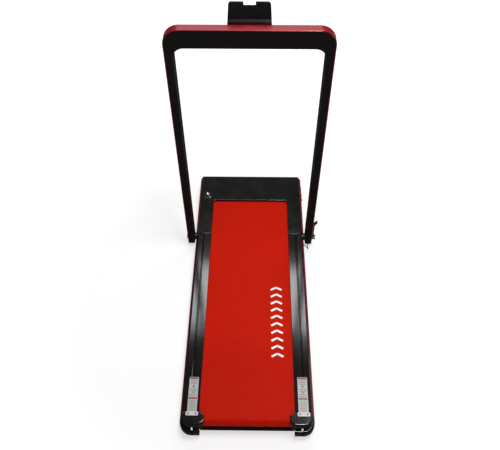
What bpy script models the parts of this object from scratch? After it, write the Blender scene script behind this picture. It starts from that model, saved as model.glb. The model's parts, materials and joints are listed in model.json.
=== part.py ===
"""Flat walking treadmill with a folding handrail hoop, in metres, +Z up.

The floor is z = 0. +Y is the front, where the motor is, and +X is the right-hand side of someone
walking on the belt. The hoop stands upright at rest and folds back over the belt about HOOP_PIVOT.
"""

import math

import bmesh
import bpy
from mathutils import Matrix, Vector

# --- driving dimensions ---------------------------------------------------------------------

GAP = 0.0003  # clearance that touching pieces keep
WALL = 0.003  # moulded cover thickness

TOP_HALF_WIDTH = 0.239  # half width of the black top
TOP_HALF_LENGTH = 0.6265  # half length of the black top
RIM_PROUD = 0.011  # how far the red rim stands out from the black top
RIM_BOTTOM, RIM_TOP = 0.0225, 0.0605
COVER_SKIRT_Z = 0.056  # lower edge of the black covers, hidden behind the rim
RAIL_TOP = 0.105
COVER_TOP = 0.107
BELT_TOP = 0.0965
BELT_CLEARANCE_Z = 0.0985  # lower edge of every cover that reaches over the belt

RAIL_INNER = 0.1755  # half width of the belt between the foot rails
BELT_HALF_WIDTH = 0.186
BELT_THICKNESS = 0.0018
ROLLER_RADIUS = 0.021
ROLLER_HALF_LENGTH = 0.1875
ROLLER_Z = BELT_TOP - BELT_THICKNESS - GAP - ROLLER_RADIUS
REAR_ROLLER_Y = -0.5945
FRONT_ROLLER_Y = 0.493
SHAFT_RADIUS = 0.006

COVER_ARM_END_Y = 0.2585
COVER_EDGE_Y = 0.467  # where the belt goes in under the motor cover
CAP_FRONT_Y = -0.575
CAP_INNER_X = 0.1556
REAR_CORNER_RADIUS = 0.032
FRONT_CORNER_RADIUS = 0.006
RIM_END_X = 0.176
RIM_WALL = 0.0025
RIM_FRONT_TOP, RIM_FRONT_PROUD = 0.0930, 0.0090  # beside the motor cover
RIM_RAMP_Y = (0.262, 0.296)  # where the rim rises
CAP_SPLIT_Z = 0.0362  # where the end caps' aprons meet the rim

TUBE_INNER_X, TUBE_OUTER_X = 0.1885, 0.2285
TUBE_BOTTOM, TUBE_TOP = 0.0255, 0.0755
TUBE_WALL = 0.002
TUBE_REAR_Y, TUBE_FRONT_Y = -0.6075, 0.452

HOOP_PIVOT = Vector((0.0, 0.2815, 0.0605))
HOOP_INNER_X, HOOP_OUTER_X = 0.2545, 0.288
HOOP_DRAFT = 0.0037  # how far the front of the inner face stands back from its rear edge
HOOP_BOTTOM, HOOP_UNDERSIDE, HOOP_TOP = 0.030, 1.0660, 1.1375
HOOP_INNER_RADIUS, HOOP_OUTER_RADIUS = 0.036, 0.056
HOOP_DEPTH = 0.038
FASCIA = 0.003  # thickness of the black fascia on the hoop
PIVOT_BOLT_RADIUS = 0.006
PIVOT_BOSS_RADIUS = 0.016

MOTOR_Y, MOTOR_Z = 0.566, 0.0655
MOTOR_RADIUS = 0.030
MOTOR_SHAFT_RADIUS = 0.004
ROLLER_PULLEY_RADIUS, MOTOR_PULLEY_RADIUS = 0.0255, 0.0105
PULLEY_X = (-0.1990, -0.1878)

KEY_X, KEY_Y = -0.2055, 0.487
SWITCH_Z = 0.043
ROCKER_Y, BREAKER_Y, INLET_Y = 0.5545, 0.528, 0.5915
ROCKER_PIVOT_X = 0.244
ROCKER_TILT = math.radians(6)
WHEEL_X, WHEEL_Y, WHEEL_Z, WHEEL_RADIUS = 0.185, 0.592, 0.0185, 0.016
FOOT_X, REAR_FOOT_Y, FRONT_FOOT_Y = 0.2085, -0.54, 0.42
ADJUSTER_X = 0.2025
LEVER_PIN_X = 0.2975
GROMMET = Vector((0.2503, 0.250, 0.039))
CABLE_EXIT = Vector((0.272, 0.279, 0.0265))
CABLE_RADIUS = 0.0017

SIDES = (("left", -1), ("right", 1))
AXES = {"X": 0, "Y": 1, "Z": 2}

# --- finishes -------------------------------------------------------------------------------


def finish(name, colour, roughness, metallic=0.0):
    """One Principled material."""
    material = bpy.data.materials.new(name)
    material.use_nodes = True
    shader = material.node_tree.nodes["Principled BSDF"]
    shader.inputs["Base Color"].default_value = (*colour, 1.0)
    shader.inputs["Roughness"].default_value = roughness
    shader.inputs["Metallic"].default_value = metallic
    return material


# --- shape tools ----------------------------------------------------------------------------


def rounded_outline(corners, steps=4):
    """A closed outline from (x, y, radius) corners, with each rounded corner as an arc."""
    points = []
    for index, (x, y, radius) in enumerate(corners):
        here = Vector((x, y))
        if radius == 0:
            points.append(here)
            continue
        back = (Vector(corners[index - 1][:2]) - here).normalized()
        ahead = (Vector(corners[(index + 1) % len(corners)][:2]) - here).normalized()
        half_angle = back.angle(ahead) / 2
        centre = here + (back + ahead).normalized() * radius / math.sin(half_angle)
        start = here + back * radius / math.tan(half_angle) - centre
        end = here + ahead * radius / math.tan(half_angle) - centre
        sweep = start.angle_signed(end)
        for step in range(steps + 1):
            points.append(centre + Matrix.Rotation(-sweep * step / steps, 2) @ start)
    return points


def inset_outline(outline, distance):
    """The outline moved inwards by the distance, with mitred corners. The outline runs anticlockwise."""
    moved = []
    for index, here in enumerate(outline):
        back = (here - outline[index - 1]).normalized()
        ahead = (outline[(index + 1) % len(outline)] - here).normalized()
        normals = Vector((-back.y, back.x)), Vector((-ahead.y, ahead.x))
        mitre = (normals[0] + normals[1]).normalized()
        moved.append(here + mitre * distance / mitre.dot(normals[0]))
    return moved


def circle(centre, radius, sides):
    step = 2 * math.pi / sides
    return [Vector(centre) + radius * Vector((math.cos(i * step), math.sin(i * step))) for i in range(sides)]


def belt_loop(rear, rear_radius, front, front_radius, steps=16):
    """The anticlockwise outline of a belt round two pulleys, in (y, z)."""
    rear, front = Vector(rear), Vector(front)
    along = front - rear
    heading = math.atan2(along.y, along.x)
    wrap = math.acos((rear_radius - front_radius) / along.length)
    arcs = (
        (front, front_radius, heading - wrap, heading + wrap),
        (rear, rear_radius, heading + wrap, heading - wrap + 2 * math.pi),
    )
    points = []
    for centre, radius, start, end in arcs:
        for step in range(steps + 1):
            angle = start + (end - start) * step / steps
            points.append(centre + radius * Vector((math.cos(angle), math.sin(angle))))
    return points


def lift(point, axis, height):
    """The 3D point of a 2D outline point, on the plane across the axis at that height."""
    coordinates = list(point)
    coordinates.insert(AXES[axis], height)
    return coordinates


def add_piece(name, mesh_maker, look, smooth_angle=35):
    """A named object whose mesh is filled by mesh_maker(bm)."""
    bm = bmesh.new()
    mesh_maker(bm)
    bmesh.ops.recalc_face_normals(bm, faces=bm.faces)
    mesh = bpy.data.meshes.new(name)
    bm.to_mesh(mesh)
    bm.free()
    mesh.shade_smooth()
    mesh.set_sharp_from_angle(angle=math.radians(smooth_angle))
    mesh.materials.append(look)
    piece = bpy.data.objects.new(name, mesh)
    bpy.context.scene.collection.objects.link(piece)
    return piece


def join_rings(bm, rings, closed=False):
    """Walls between rings of points, with the ends filled unless the rings close on each other."""
    rows = [[bm.verts.new(point) for point in ring] for ring in rings]
    count = len(rows[0])
    spans = list(zip(rows, rows[1:]))
    if closed:
        spans.append((rows[-1], rows[0]))
    for low, high in spans:
        for i in range(count):
            j = (i + 1) % count
            bm.faces.new((low[i], low[j], high[j], high[i]))
    if not closed:
        bm.faces.new(rows[0])
        bm.faces.new(rows[-1])


def swept(name, rings, look, closed=False):
    return add_piece(name, lambda bm: join_rings(bm, rings, closed), look)


def hollow_swept(name, outer_rings, inner_rings, look):
    """A tube that is open at both ends: out along one set of rings, back along the other."""

    def fill(bm):
        join_rings(bm, outer_rings + inner_rings[::-1], closed=True)

    return add_piece(name, fill, look)


def prism(name, outline, axis, low, high, look):
    return swept(name, [[lift(p, axis, height) for p in outline] for height in (low, high)], look)


def hollow_prism(name, outer, inner, axis, low, high, look):
    outer_rings = [[lift(p, axis, height) for p in outer] for height in (low, high)]
    inner_rings = [[lift(p, axis, height) for p in inner] for height in (low, high)]
    return hollow_swept(name, outer_rings, inner_rings, look)


def box(name, low, high, look):
    (x0, y0, z0), (x1, y1, z1) = low, high
    outline = [Vector((x0, y0)), Vector((x1, y0)), Vector((x1, y1)), Vector((x0, y1))]
    return prism(name, outline, "Z", z0, z1, look)


def side_box(name, side, x, y, z, look):
    """A box given by (low, high) in each axis, with x measured outwards on that side."""
    across = sorted(side * value for value in x)
    return box(name, (across[0], y[0], z[0]), (across[1], y[1], z[1]), look)


def turned(name, profile, look, centre, axis, sides=24):
    """A turned piece from (radius, height) points, placed with its axis along the given axis.

    A profile that starts and ends at radius 0 is solid; any other closes on itself, as a ring.
    """
    solid = profile[0][0] == 0

    def fill(bm):
        step = 2 * math.pi / sides
        rows = []
        for radius, height in profile:
            if radius == 0:
                rows.append([bm.verts.new((0, 0, height))] * sides)
                continue
            rows.append(
                [bm.verts.new((radius * math.cos(i * step), radius * math.sin(i * step), height)) for i in range(sides)]
            )
        spans = list(zip(rows, rows[1:])) if solid else list(zip(rows, rows[1:] + rows[:1]))
        for low, high in spans:
            for i in range(sides):
                j = (i + 1) % sides
                corners = list(dict.fromkeys((low[i], low[j], high[j], high[i])))
                bm.faces.new(corners)

    piece = add_piece(name, fill, look)
    piece.location = centre
    turn = {"X": (0, math.pi / 2, 0), "Y": (-math.pi / 2, 0, 0), "Z": (0, 0, 0)}
    piece.rotation_euler = turn[axis]
    return piece


def cut(piece, cutter, operation="DIFFERENCE"):
    """Cuts the piece with a helper that the render leaves out."""
    cutter.hide_render = True
    cutter.display_type = "WIRE"
    modifier = piece.modifiers.new(cutter.name, "BOOLEAN")
    modifier.operation = operation
    modifier.solver = "EXACT"
    modifier.object = cutter


def cut_box(piece, name, low, high):
    cut(piece, box(name, low, high, CUTTER))


def cut_hole(piece, name, centre, axis, radius, length, sides=24):
    profile = [(0, -length / 2), (radius, -length / 2), (radius, length / 2), (0, length / 2)]
    cut(piece, turned(name, profile, CUTTER, centre, axis, sides))


def round_edges(piece, width, segments=2):
    modifier = piece.modifiers.new("rounded edges", "BEVEL")
    modifier.width = width
    modifier.segments = segments
    modifier.limit_method = "ANGLE"
    modifier.angle_limit = math.radians(40)


def joint_empty(name, location):
    empty = bpy.data.objects.new(name, None)
    empty.location = location
    bpy.context.scene.collection.objects.link(empty)
    return empty


def hang_on(empty, *pieces):
    """Parents pieces to a joint's empty without moving them."""
    for piece in pieces:
        piece.parent = empty
        piece.matrix_parent_inverse = Matrix.Translation(empty.location).inverted()


# --- base: frame, deck and feet -------------------------------------------------------------


def rectangle(x, y):
    return [Vector((x[0], y[0])), Vector((x[1], y[0])), Vector((x[1], y[1])), Vector((x[0], y[1]))]


def frame_tubes():
    for side_name, side in SIDES:
        outer = rectangle(sorted((side * TUBE_INNER_X, side * TUBE_OUTER_X)), (TUBE_BOTTOM, TUBE_TOP))
        inner = inset_outline(outer, TUBE_WALL)
        tube = hollow_prism(f"{side_name}_frame_tube", outer, inner, "Y", TUBE_REAR_Y, TUBE_FRONT_Y, BLACK_STEEL)
        notch = (sorted((side * 0.187, side * 0.2262)), (REAR_ROLLER_Y - 0.0065, REAR_ROLLER_Y + 0.0065))
        floor = ROLLER_Z - SHAFT_RADIUS - 0.0004
        cut_box(
            tube,
            f"{side_name}_shaft_notch",
            (notch[0][0], notch[1][0], floor),
            (notch[0][1], notch[1][1], TUBE_TOP + 0.01),
        )
        groove_x = sorted((side * (ADJUSTER_X - 0.0035), side * (ADJUSTER_X + 0.0035)))
        low, high = (groove_x[0], TUBE_REAR_Y - 0.01, ROLLER_Z - 0.0034), (groove_x[1], -0.556, TUBE_TOP + 0.01)
        cut_box(tube, f"{side_name}_bolt_groove", low, high)


def cross_tubes():
    half_length = TUBE_INNER_X - GAP
    for name, y in (("front_cross_tube", 0.300), ("rear_cross_tube", -0.400)):
        outer = rectangle((y - 0.015, y + 0.015), (0.0550, 0.0770))
        inner = inset_outline(outer, TUBE_WALL)
        hollow_prism(name, outer, inner, "X", -half_length, half_length, BLACK_STEEL)


def deck():
    top = BELT_TOP - BELT_THICKNESS - GAP
    board = box("running_deck", (-0.2225, -0.565, 0.080), (0.2225, 0.452, top), FIBREBOARD)
    round_edges(board, 0.002, 1)
    for side_name, side in SIDES:
        side_box(f"{side_name}_deck_cushion", side, (0.195, 0.222), (-0.50, 0.40), (0.0758, 0.0797), RUBBER)


def feet():
    profile = [(0, 0), (0.0135, 0), (0.0150, 0.002), (0.0150, TUBE_BOTTOM - GAP), (0, TUBE_BOTTOM - GAP)]
    for side_name, side in SIDES:
        for end_name, y in (("rear", REAR_FOOT_Y), ("front", FRONT_FOOT_Y)):
            turned(f"{side_name}_{end_name}_foot", profile, RUBBER, (side * FOOT_X, y, 0), "Z", 20)


# --- base: belt and rollers -----------------------------------------------------------------


def running_belt():
    ends = (REAR_ROLLER_Y, ROLLER_Z), (FRONT_ROLLER_Y, ROLLER_Z)
    inner_radius = ROLLER_RADIUS + GAP
    outer_radius = inner_radius + BELT_THICKNESS
    outer = belt_loop(ends[0], outer_radius, ends[1], outer_radius)
    inner = belt_loop(ends[0], inner_radius, ends[1], inner_radius)
    hollow_prism("running_belt", outer, inner, "X", -BELT_HALF_WIDTH, BELT_HALF_WIDTH, BELT_RED)


def rollers():
    """Two steel tubes with bearing ends, each turning on a fixed shaft."""
    half, bore, hub, tube_inside = ROLLER_HALF_LENGTH, SHAFT_RADIUS + 0.0004, 0.012, 0.0185
    profile = [
        (bore, -half),
        (ROLLER_RADIUS, -half),
        (ROLLER_RADIUS, half),
        (bore, half),
        (bore, half - hub),
        (tube_inside, half - hub),
        (tube_inside, -half + hub),
        (bore, -half + hub),
    ]
    for name, y, shaft_half in (("rear", REAR_ROLLER_Y, 0.2255), ("front", FRONT_ROLLER_Y, 0.210)):
        turned(f"{name}_roller", profile, STEEL, (0, y, ROLLER_Z), "X", 28)
        rod = [(0, -shaft_half), (SHAFT_RADIUS, -shaft_half), (SHAFT_RADIUS, shaft_half), (0, shaft_half)]
        shaft = turned(f"{name}_roller_shaft", rod, STEEL, (0, y, ROLLER_Z), "X", 18)
        if name == "rear":
            for side_name, side in SIDES:
                place = (side * ADJUSTER_X, y, ROLLER_Z)
                cut_hole(shaft, f"{side_name}_adjuster_hole", place, "Y", 0.0034, 0.03, 12)


def adjusting_bolts():
    """Socket-head bolts that pull the rear roller's shaft back to tension and track the belt."""
    head, neck, tip = -0.0070, 0.0, 0.0500
    profile = [
        (0, head + 0.003),
        (0.0025, head + 0.003),
        (0.0025, head),
        (0.0055, head),
        (0.0055, neck),
        (0.0030, neck),
        (0.0030, tip),
        (0, tip),
    ]
    for side_name, side in SIDES:
        centre = (side * ADJUSTER_X, TUBE_REAR_Y - 0.002, ROLLER_Z)
        turned(f"{side_name}_adjusting_bolt", profile, ZINC, centre, "Y", 16)


# --- base: covers ---------------------------------------------------------------------------


def motor_cover():
    """A U-shaped hood: over the motor at the front, with an arm down each side of the belt."""
    x, front, edge, arm_end = TOP_HALF_WIDTH, TOP_HALF_LENGTH, COVER_EDGE_Y, COVER_ARM_END_Y
    outline = rounded_outline(
        [
            (-x, arm_end, 0),
            (-RAIL_INNER, arm_end, 0),
            (-RAIL_INNER, edge, 0.012),
            (RAIL_INNER, edge, 0.012),
            (RAIL_INNER, arm_end, 0),
            (x, arm_end, 0),
            (x, front, FRONT_CORNER_RADIUS),
            (-x, front, FRONT_CORNER_RADIUS),
        ]
    )
    layers = ((0, COVER_SKIRT_Z), (0, COVER_TOP - 0.0035), (0.0010, COVER_TOP - 0.0010), (0.0035, COVER_TOP))
    rings = [[lift(p, "Z", z) for p in inset_outline(outline, inset)] for inset, z in layers]
    cover = swept("motor_cover", rings, BLACK_GLOSS)
    inside = inset_outline(outline, WALL)
    cut(cover, prism("cover_inside", inside, "Z", COVER_SKIRT_Z - 0.01, COVER_TOP - WALL, CUTTER))
    below = COVER_SKIRT_Z - 0.02
    cut_box(cover, "belt_way", (-0.180, arm_end - 0.01, below), (0.180, edge + 0.0055, BELT_CLEARANCE_Z))
    cut_box(cover, "frame_way", (-0.2355, arm_end - 0.01, below), (0.2355, arm_end + 0.0055, BELT_CLEARANCE_Z))
    cut_hole(cover, "key_hole", (KEY_X, KEY_Y, COVER_TOP), "Z", 0.0163, 0.012)
    cut_pivot_hole(cover, "cover_pivot_hole")


def cut_pivot_hole(piece, name, side=0):
    """Clears the pivot bosses, on one side or right across."""
    length = 0.06 if side else 0.6
    centre = (side * TOP_HALF_WIDTH, HOOP_PIVOT.y, HOOP_PIVOT.z)
    cut_hole(piece, name, centre, "X", PIVOT_BOSS_RADIUS + 0.0005, length)


def foot_rails():
    """Inverted channels with a shallow groove along the middle of the top."""
    outer, inner, top, under = TOP_HALF_WIDTH, RAIL_INNER, RAIL_TOP, RAIL_TOP - 0.0038
    groove_x, groove_half, groove_floor = 0.2095, 0.004, RAIL_TOP - 0.002
    corners = [
        (outer, COVER_SKIRT_Z, 0),
        (outer, top, 0.006),
        (groove_x + groove_half, top, 0),
        (groove_x + groove_half, groove_floor, 0),
        (groove_x - groove_half, groove_floor, 0),
        (groove_x - groove_half, top, 0),
        (inner, top, 0.0015),
        (inner, BELT_CLEARANCE_Z, 0),
        (inner + WALL, BELT_CLEARANCE_Z, 0),
        (inner + WALL, under, 0),
        (outer - WALL, under, 0.003),
        (outer - WALL, COVER_SKIRT_Z, 0),
    ]
    outline = rounded_outline(corners, 3)
    for side_name, side in SIDES:
        section = [Vector((side * p.x, p.y)) for p in outline]
        rear, front = CAP_FRONT_Y + 0.0006, COVER_ARM_END_Y - 0.0006
        prism(f"{side_name}_foot_rail", section, "Y", rear, front, BLACK_SATIN)


def rim_path(side):
    """(point, outward direction) down one side of the black top, from the front centre to the rear corner."""
    x, y, rear, front = TOP_HALF_WIDTH, TOP_HALF_LENGTH, REAR_CORNER_RADIUS, FRONT_CORNER_RADIUS
    stations = [(Vector((0.0005, y)), Vector((0, 1)))]
    arcs = ((x - front, y - front, front, 90, 4), (x - rear, rear - y, rear, 0, 8))
    for centre_x, centre_y, radius, start, steps in arcs:
        if start == 0:
            stations.extend((Vector((x, ramp_y)), Vector((1, 0))) for ramp_y in (*reversed(RIM_RAMP_Y), CAP_FRONT_Y))
        for step in range(steps + 1):
            angle = math.radians(start - 90 * step / steps)
            outward = Vector((math.cos(angle), math.sin(angle)))
            stations.append((Vector((centre_x, centre_y)) + radius * outward, outward))
    stations.append((Vector((RIM_END_X, -y)), Vector((0, -1))))
    return [(Vector((side * p.x, p.y)), Vector((side * n.x, n.y))) for p, n in stations]


def rim_section(share):
    """The rim's section, (distance outwards, height): low beside the rails at 0, tall beside the cover at 1."""
    wall = RIM_WALL
    top = RIM_TOP + (RIM_FRONT_TOP - RIM_TOP) * share
    proud = RIM_PROUD + (RIM_FRONT_PROUD - RIM_PROUD) * share
    corners = [
        (0.0006, top, 0),
        (0.0006, top - wall, 0),
        (proud - wall, top - wall, 0.0050),
        (proud - wall, RIM_BOTTOM + wall, 0.0045),
        (-0.010, RIM_BOTTOM + wall, 0),
        (-0.010, RIM_BOTTOM, 0),
        (proud, RIM_BOTTOM, 0.007),
        (proud, top, 0.0075),
    ]
    return rounded_outline(corners, 3)


def side_skirts():
    """Red rims that wrap the base from the middle of the front to the rear corners."""
    for side_name, side in SIDES:
        rings = []
        for point, outward in rim_path(side):
            share = min(max((point.y - RIM_RAMP_Y[0]) / (RIM_RAMP_Y[1] - RIM_RAMP_Y[0]), 0), 1)
            rings.append([(*(point + outward * p.x), p.y) for p in rim_section(share)])
        skirt = swept(f"{side_name}_side_skirt", rings, RED_PAINT)
        cut_pivot_hole(skirt, f"{side_name}_skirt_pivot_hole", side)
        low, high = (-0.3, -0.7, CAP_SPLIT_Z), (0.3, CAP_FRONT_Y + GAP, RIM_TOP + 0.01)
        cut_box(skirt, f"{side_name}_cap_apron_way", low, high)
        slot_x = sorted((side * (ADJUSTER_X - 0.003), side * (ADJUSTER_X + 0.003)))
        outside_y = -TOP_HALF_LENGTH - RIM_PROUD - 0.005
        low, high = (slot_x[0], outside_y, 0.032), (slot_x[1], 0.002 - TOP_HALF_LENGTH, 0.07)
        cut_box(skirt, f"{side_name}_skirt_slot", low, high)
        if side > 0:
            x = (0.235, 0.26)
            for name, y, half in (("inlet_way", INLET_Y, 0.0125), ("switch_way", 0.5415, 0.0220)):
                cut_box(skirt, name, (x[0], y - half, 0.0325), (x[1], y + half, 0.0535))
            cut_hole(skirt, "grommet_way", GROMMET, "X", 0.0036, 0.03, 12)


def end_caps():
    """Rear corner covers, each with a slot for the belt adjusting bolt behind it."""
    x, y = TOP_HALF_WIDTH, -TOP_HALF_LENGTH
    corners = [
        (RAIL_INNER - 0.003, CAP_FRONT_Y, 0),
        (CAP_INNER_X, CAP_FRONT_Y - 0.014, 0),
        (CAP_INNER_X, y + 0.012, 0),
        (RIM_END_X, y, 0),
        (x, y, REAR_CORNER_RADIUS),
        (x, CAP_FRONT_Y, 0),
    ]
    layers = ((0, COVER_SKIRT_Z), (0, RAIL_TOP - 0.006), (0.0018, RAIL_TOP - 0.0018), (0.006, RAIL_TOP))
    right = rounded_outline(corners, 8)
    for side_name, side in SIDES:
        outline = right if side > 0 else [Vector((-p.x, p.y)) for p in reversed(right)]
        rings = [[lift(p, "Z", z) for p in inset_outline(outline, inset)] for inset, z in layers]
        cap = swept(f"{side_name}_end_cap", rings, BLACK_SATIN)
        inside = inset_outline(outline, WALL)
        cut(cap, prism(f"{side_name}_cap_inside", inside, "Z", 0.04, RAIL_TOP - WALL - 0.0005, CUTTER))
        belt_x = sorted((side * (CAP_INNER_X - 0.01), side * 0.190))
        low, high = (belt_x[0], y + 0.0080, 0.04), (belt_x[1], CAP_FRONT_Y + 0.01, BELT_CLEARANCE_Z)
        cut_box(cap, f"{side_name}_cap_belt_way", low, high)
        frame_x = sorted((side * 0.186, side * 0.233))
        low, high = (frame_x[0], CAP_FRONT_Y - 0.006, 0.04), (frame_x[1], CAP_FRONT_Y + 0.01, BELT_CLEARANCE_Z)
        cut_box(cap, f"{side_name}_cap_frame_way", low, high)
        slot_x = sorted((side * (ADJUSTER_X - 0.003), side * (ADJUSTER_X + 0.003)))
        apron = rounded_outline(
            [
                (-0.001, RIM_TOP, 0),
                (-0.001, RIM_TOP - RIM_WALL, 0),
                (RIM_PROUD - RIM_WALL, RIM_TOP - RIM_WALL, 0.0050),
                (RIM_PROUD - RIM_WALL, CAP_SPLIT_Z + GAP, 0),
                (RIM_PROUD, CAP_SPLIT_Z + GAP, 0),
                (RIM_PROUD, RIM_TOP, 0.0075),
            ],
            3,
        )
        path = [(point, outward) for point, outward in rim_path(side) if point.y < CAP_FRONT_Y + GAP]
        rings = [[(*(point + outward * p.x), p.y) for p in apron] for point, outward in path]
        cut(cap, swept(f"{side_name}_cap_apron", rings, CUTTER), "UNION")
        low, high = (slot_x[0], y - RIM_PROUD - 0.01, 0.030), (slot_x[1], y + 0.0045, 0.090)
        cut_box(cap, f"{side_name}_cap_slot", low, high)


def rear_guard():
    """The bar under the belt's rear turn, between the end caps."""
    y = -TOP_HALF_LENGTH
    corners = [
        (y + 0.0085, 0.0265, 0.003),
        (y + 0.0275, 0.0265, 0.003),
        (y + 0.0275, 0.0420, 0.006),
        (y + 0.0085, 0.0420, 0.006),
    ]
    half = RIM_END_X - 0.0014
    prism("rear_guard", rounded_outline(corners, 3), "X", -half, half, BLACK_SATIN)


# --- base: motor bay ------------------------------------------------------------------------


def motor_tray():
    """A folded steel tray: it carries the motor, and its flanges hold the front roller's shaft."""
    outer_x, wall, floor, flange_top = 0.2065, 0.003, 0.0235, 0.082
    outline = [
        Vector((-outer_x, floor)),
        Vector((outer_x, floor)),
        Vector((outer_x, flange_top)),
        Vector((outer_x - wall, flange_top)),
        Vector((outer_x - wall, floor + 0.002)),
        Vector((wall - outer_x, floor + 0.002)),
        Vector((wall - outer_x, flange_top)),
        Vector((-outer_x, flange_top)),
    ]
    tray = prism("motor_tray", outline, "Y", TUBE_FRONT_Y + 0.0015, 0.6155, BLACK_STEEL)
    y, z = FRONT_ROLLER_Y, ROLLER_Z - SHAFT_RADIUS - 0.0004
    cut_box(tray, "front_shaft_notch", (-0.25, y - 0.0064, z), (0.25, y + 0.0064, 0.1))
    for side_name, side in SIDES:
        x = sorted((side * 0.1725, side * 0.1975))
        cut_box(tray, f"{side_name}_wheel_way", (x[0], 0.5715, 0.02), (x[1], 0.6125, 0.03))


def motor():
    """Can, saddle, and the rotor's shaft with its pulley and flywheel."""
    start, end = -0.160, -0.050
    bore, chamfer = MOTOR_SHAFT_RADIUS + 0.0004, 0.003
    profile = [
        (bore, start),
        (MOTOR_RADIUS - chamfer, start),
        (MOTOR_RADIUS, start + chamfer),
        (MOTOR_RADIUS, end - chamfer),
        (MOTOR_RADIUS - chamfer, end),
        (bore, end),
    ]
    centre = (0, MOTOR_Y, MOTOR_Z)
    turned("motor_can", profile, DARK_STEEL, centre, "X", 28)

    half_width, saddle_radius, tray_top = 0.024, MOTOR_RADIUS + 0.0004, 0.0258
    reach = math.asin(half_width / saddle_radius)
    outline = [Vector((MOTOR_Y - half_width, tray_top)), Vector((MOTOR_Y + half_width, tray_top))]
    for step in range(9):
        angle = reach - 2 * reach * step / 8
        outline.append(Vector((MOTOR_Y + saddle_radius * math.sin(angle), MOTOR_Z - saddle_radius * math.cos(angle))))
    prism("motor_saddle", outline, "X", start + 0.01, end - 0.01, ZINC)

    low, high = PULLEY_X
    profile = [
        (0, low),
        (MOTOR_PULLEY_RADIUS, low),
        (MOTOR_PULLEY_RADIUS, high),
        (MOTOR_SHAFT_RADIUS, high),
        (MOTOR_SHAFT_RADIUS, -0.0320),
        (0, -0.0320),
    ]
    shaft = turned("motor_shaft", profile, STEEL, centre, "X", 20)
    bore = MOTOR_SHAFT_RADIUS + GAP
    profile = [(bore, -0.0445), (0.028, -0.0445), (0.028, -0.0325), (bore, -0.0325)]
    flywheel = turned("flywheel", profile, STEEL, centre, "X", 24)
    return shaft, flywheel


def drive():
    """The pulley on the front roller and the belt from the motor."""
    low, high = PULLEY_X
    bore = SHAFT_RADIUS + 0.0004
    profile = [(bore, low), (ROLLER_PULLEY_RADIUS, low), (ROLLER_PULLEY_RADIUS, high), (bore, high)]
    turned("roller_pulley", profile, STEEL, (0, FRONT_ROLLER_Y, ROLLER_Z), "X", 28)
    ends = (FRONT_ROLLER_Y, ROLLER_Z), (MOTOR_Y, MOTOR_Z)
    radii = ROLLER_PULLEY_RADIUS + GAP, MOTOR_PULLEY_RADIUS + GAP
    thickness = 0.002
    outer = belt_loop(ends[0], radii[0] + thickness, ends[1], radii[1] + thickness, 12)
    inner = belt_loop(ends[0], radii[0], ends[1], radii[1], 12)
    hollow_prism("drive_belt", outer, inner, "X", low + 0.0015, high - 0.0012, RUBBER)


def controller():
    case = box("controller_box", (0.030, 0.532, 0.0258), (0.165, 0.606, 0.066), ALUMINIUM)
    round_edges(case, 0.002, 1)


def safety_key():
    """A knob that stops the motor when it is pulled out of its shallow socket."""
    floor = COVER_TOP - 0.0052
    socket = [
        (0, floor),
        (0.0160, floor),
        (0.0160, COVER_TOP + GAP),
        (0.0185, COVER_TOP + GAP),
        (0.0180, COVER_TOP + 0.0013),
        (0.0152, COVER_TOP + 0.0013),
        (0.0152, floor + 0.0016),
        (0, floor + 0.0016),
    ]
    turned("key_socket", socket, BLACK_SATIN, (KEY_X, KEY_Y, 0), "Z", 24)
    base = floor + 0.0019
    knob = [
        (0, base),
        (0.0147, base),
        (0.0147, base + 0.0062),
        (0.0120, base + 0.0085),
        (0.0088, base + 0.0110),
        (0.0082, base + 0.0160),
        (0.0098, base + 0.0225),
        (0.0103, base + 0.0265),
        (0.0085, base + 0.0300),
        (0.0045, base + 0.0318),
        (0, base + 0.0322),
    ]
    turned("safety_key", knob, CHROME, (KEY_X, KEY_Y, 0), "Z", 24)


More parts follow.
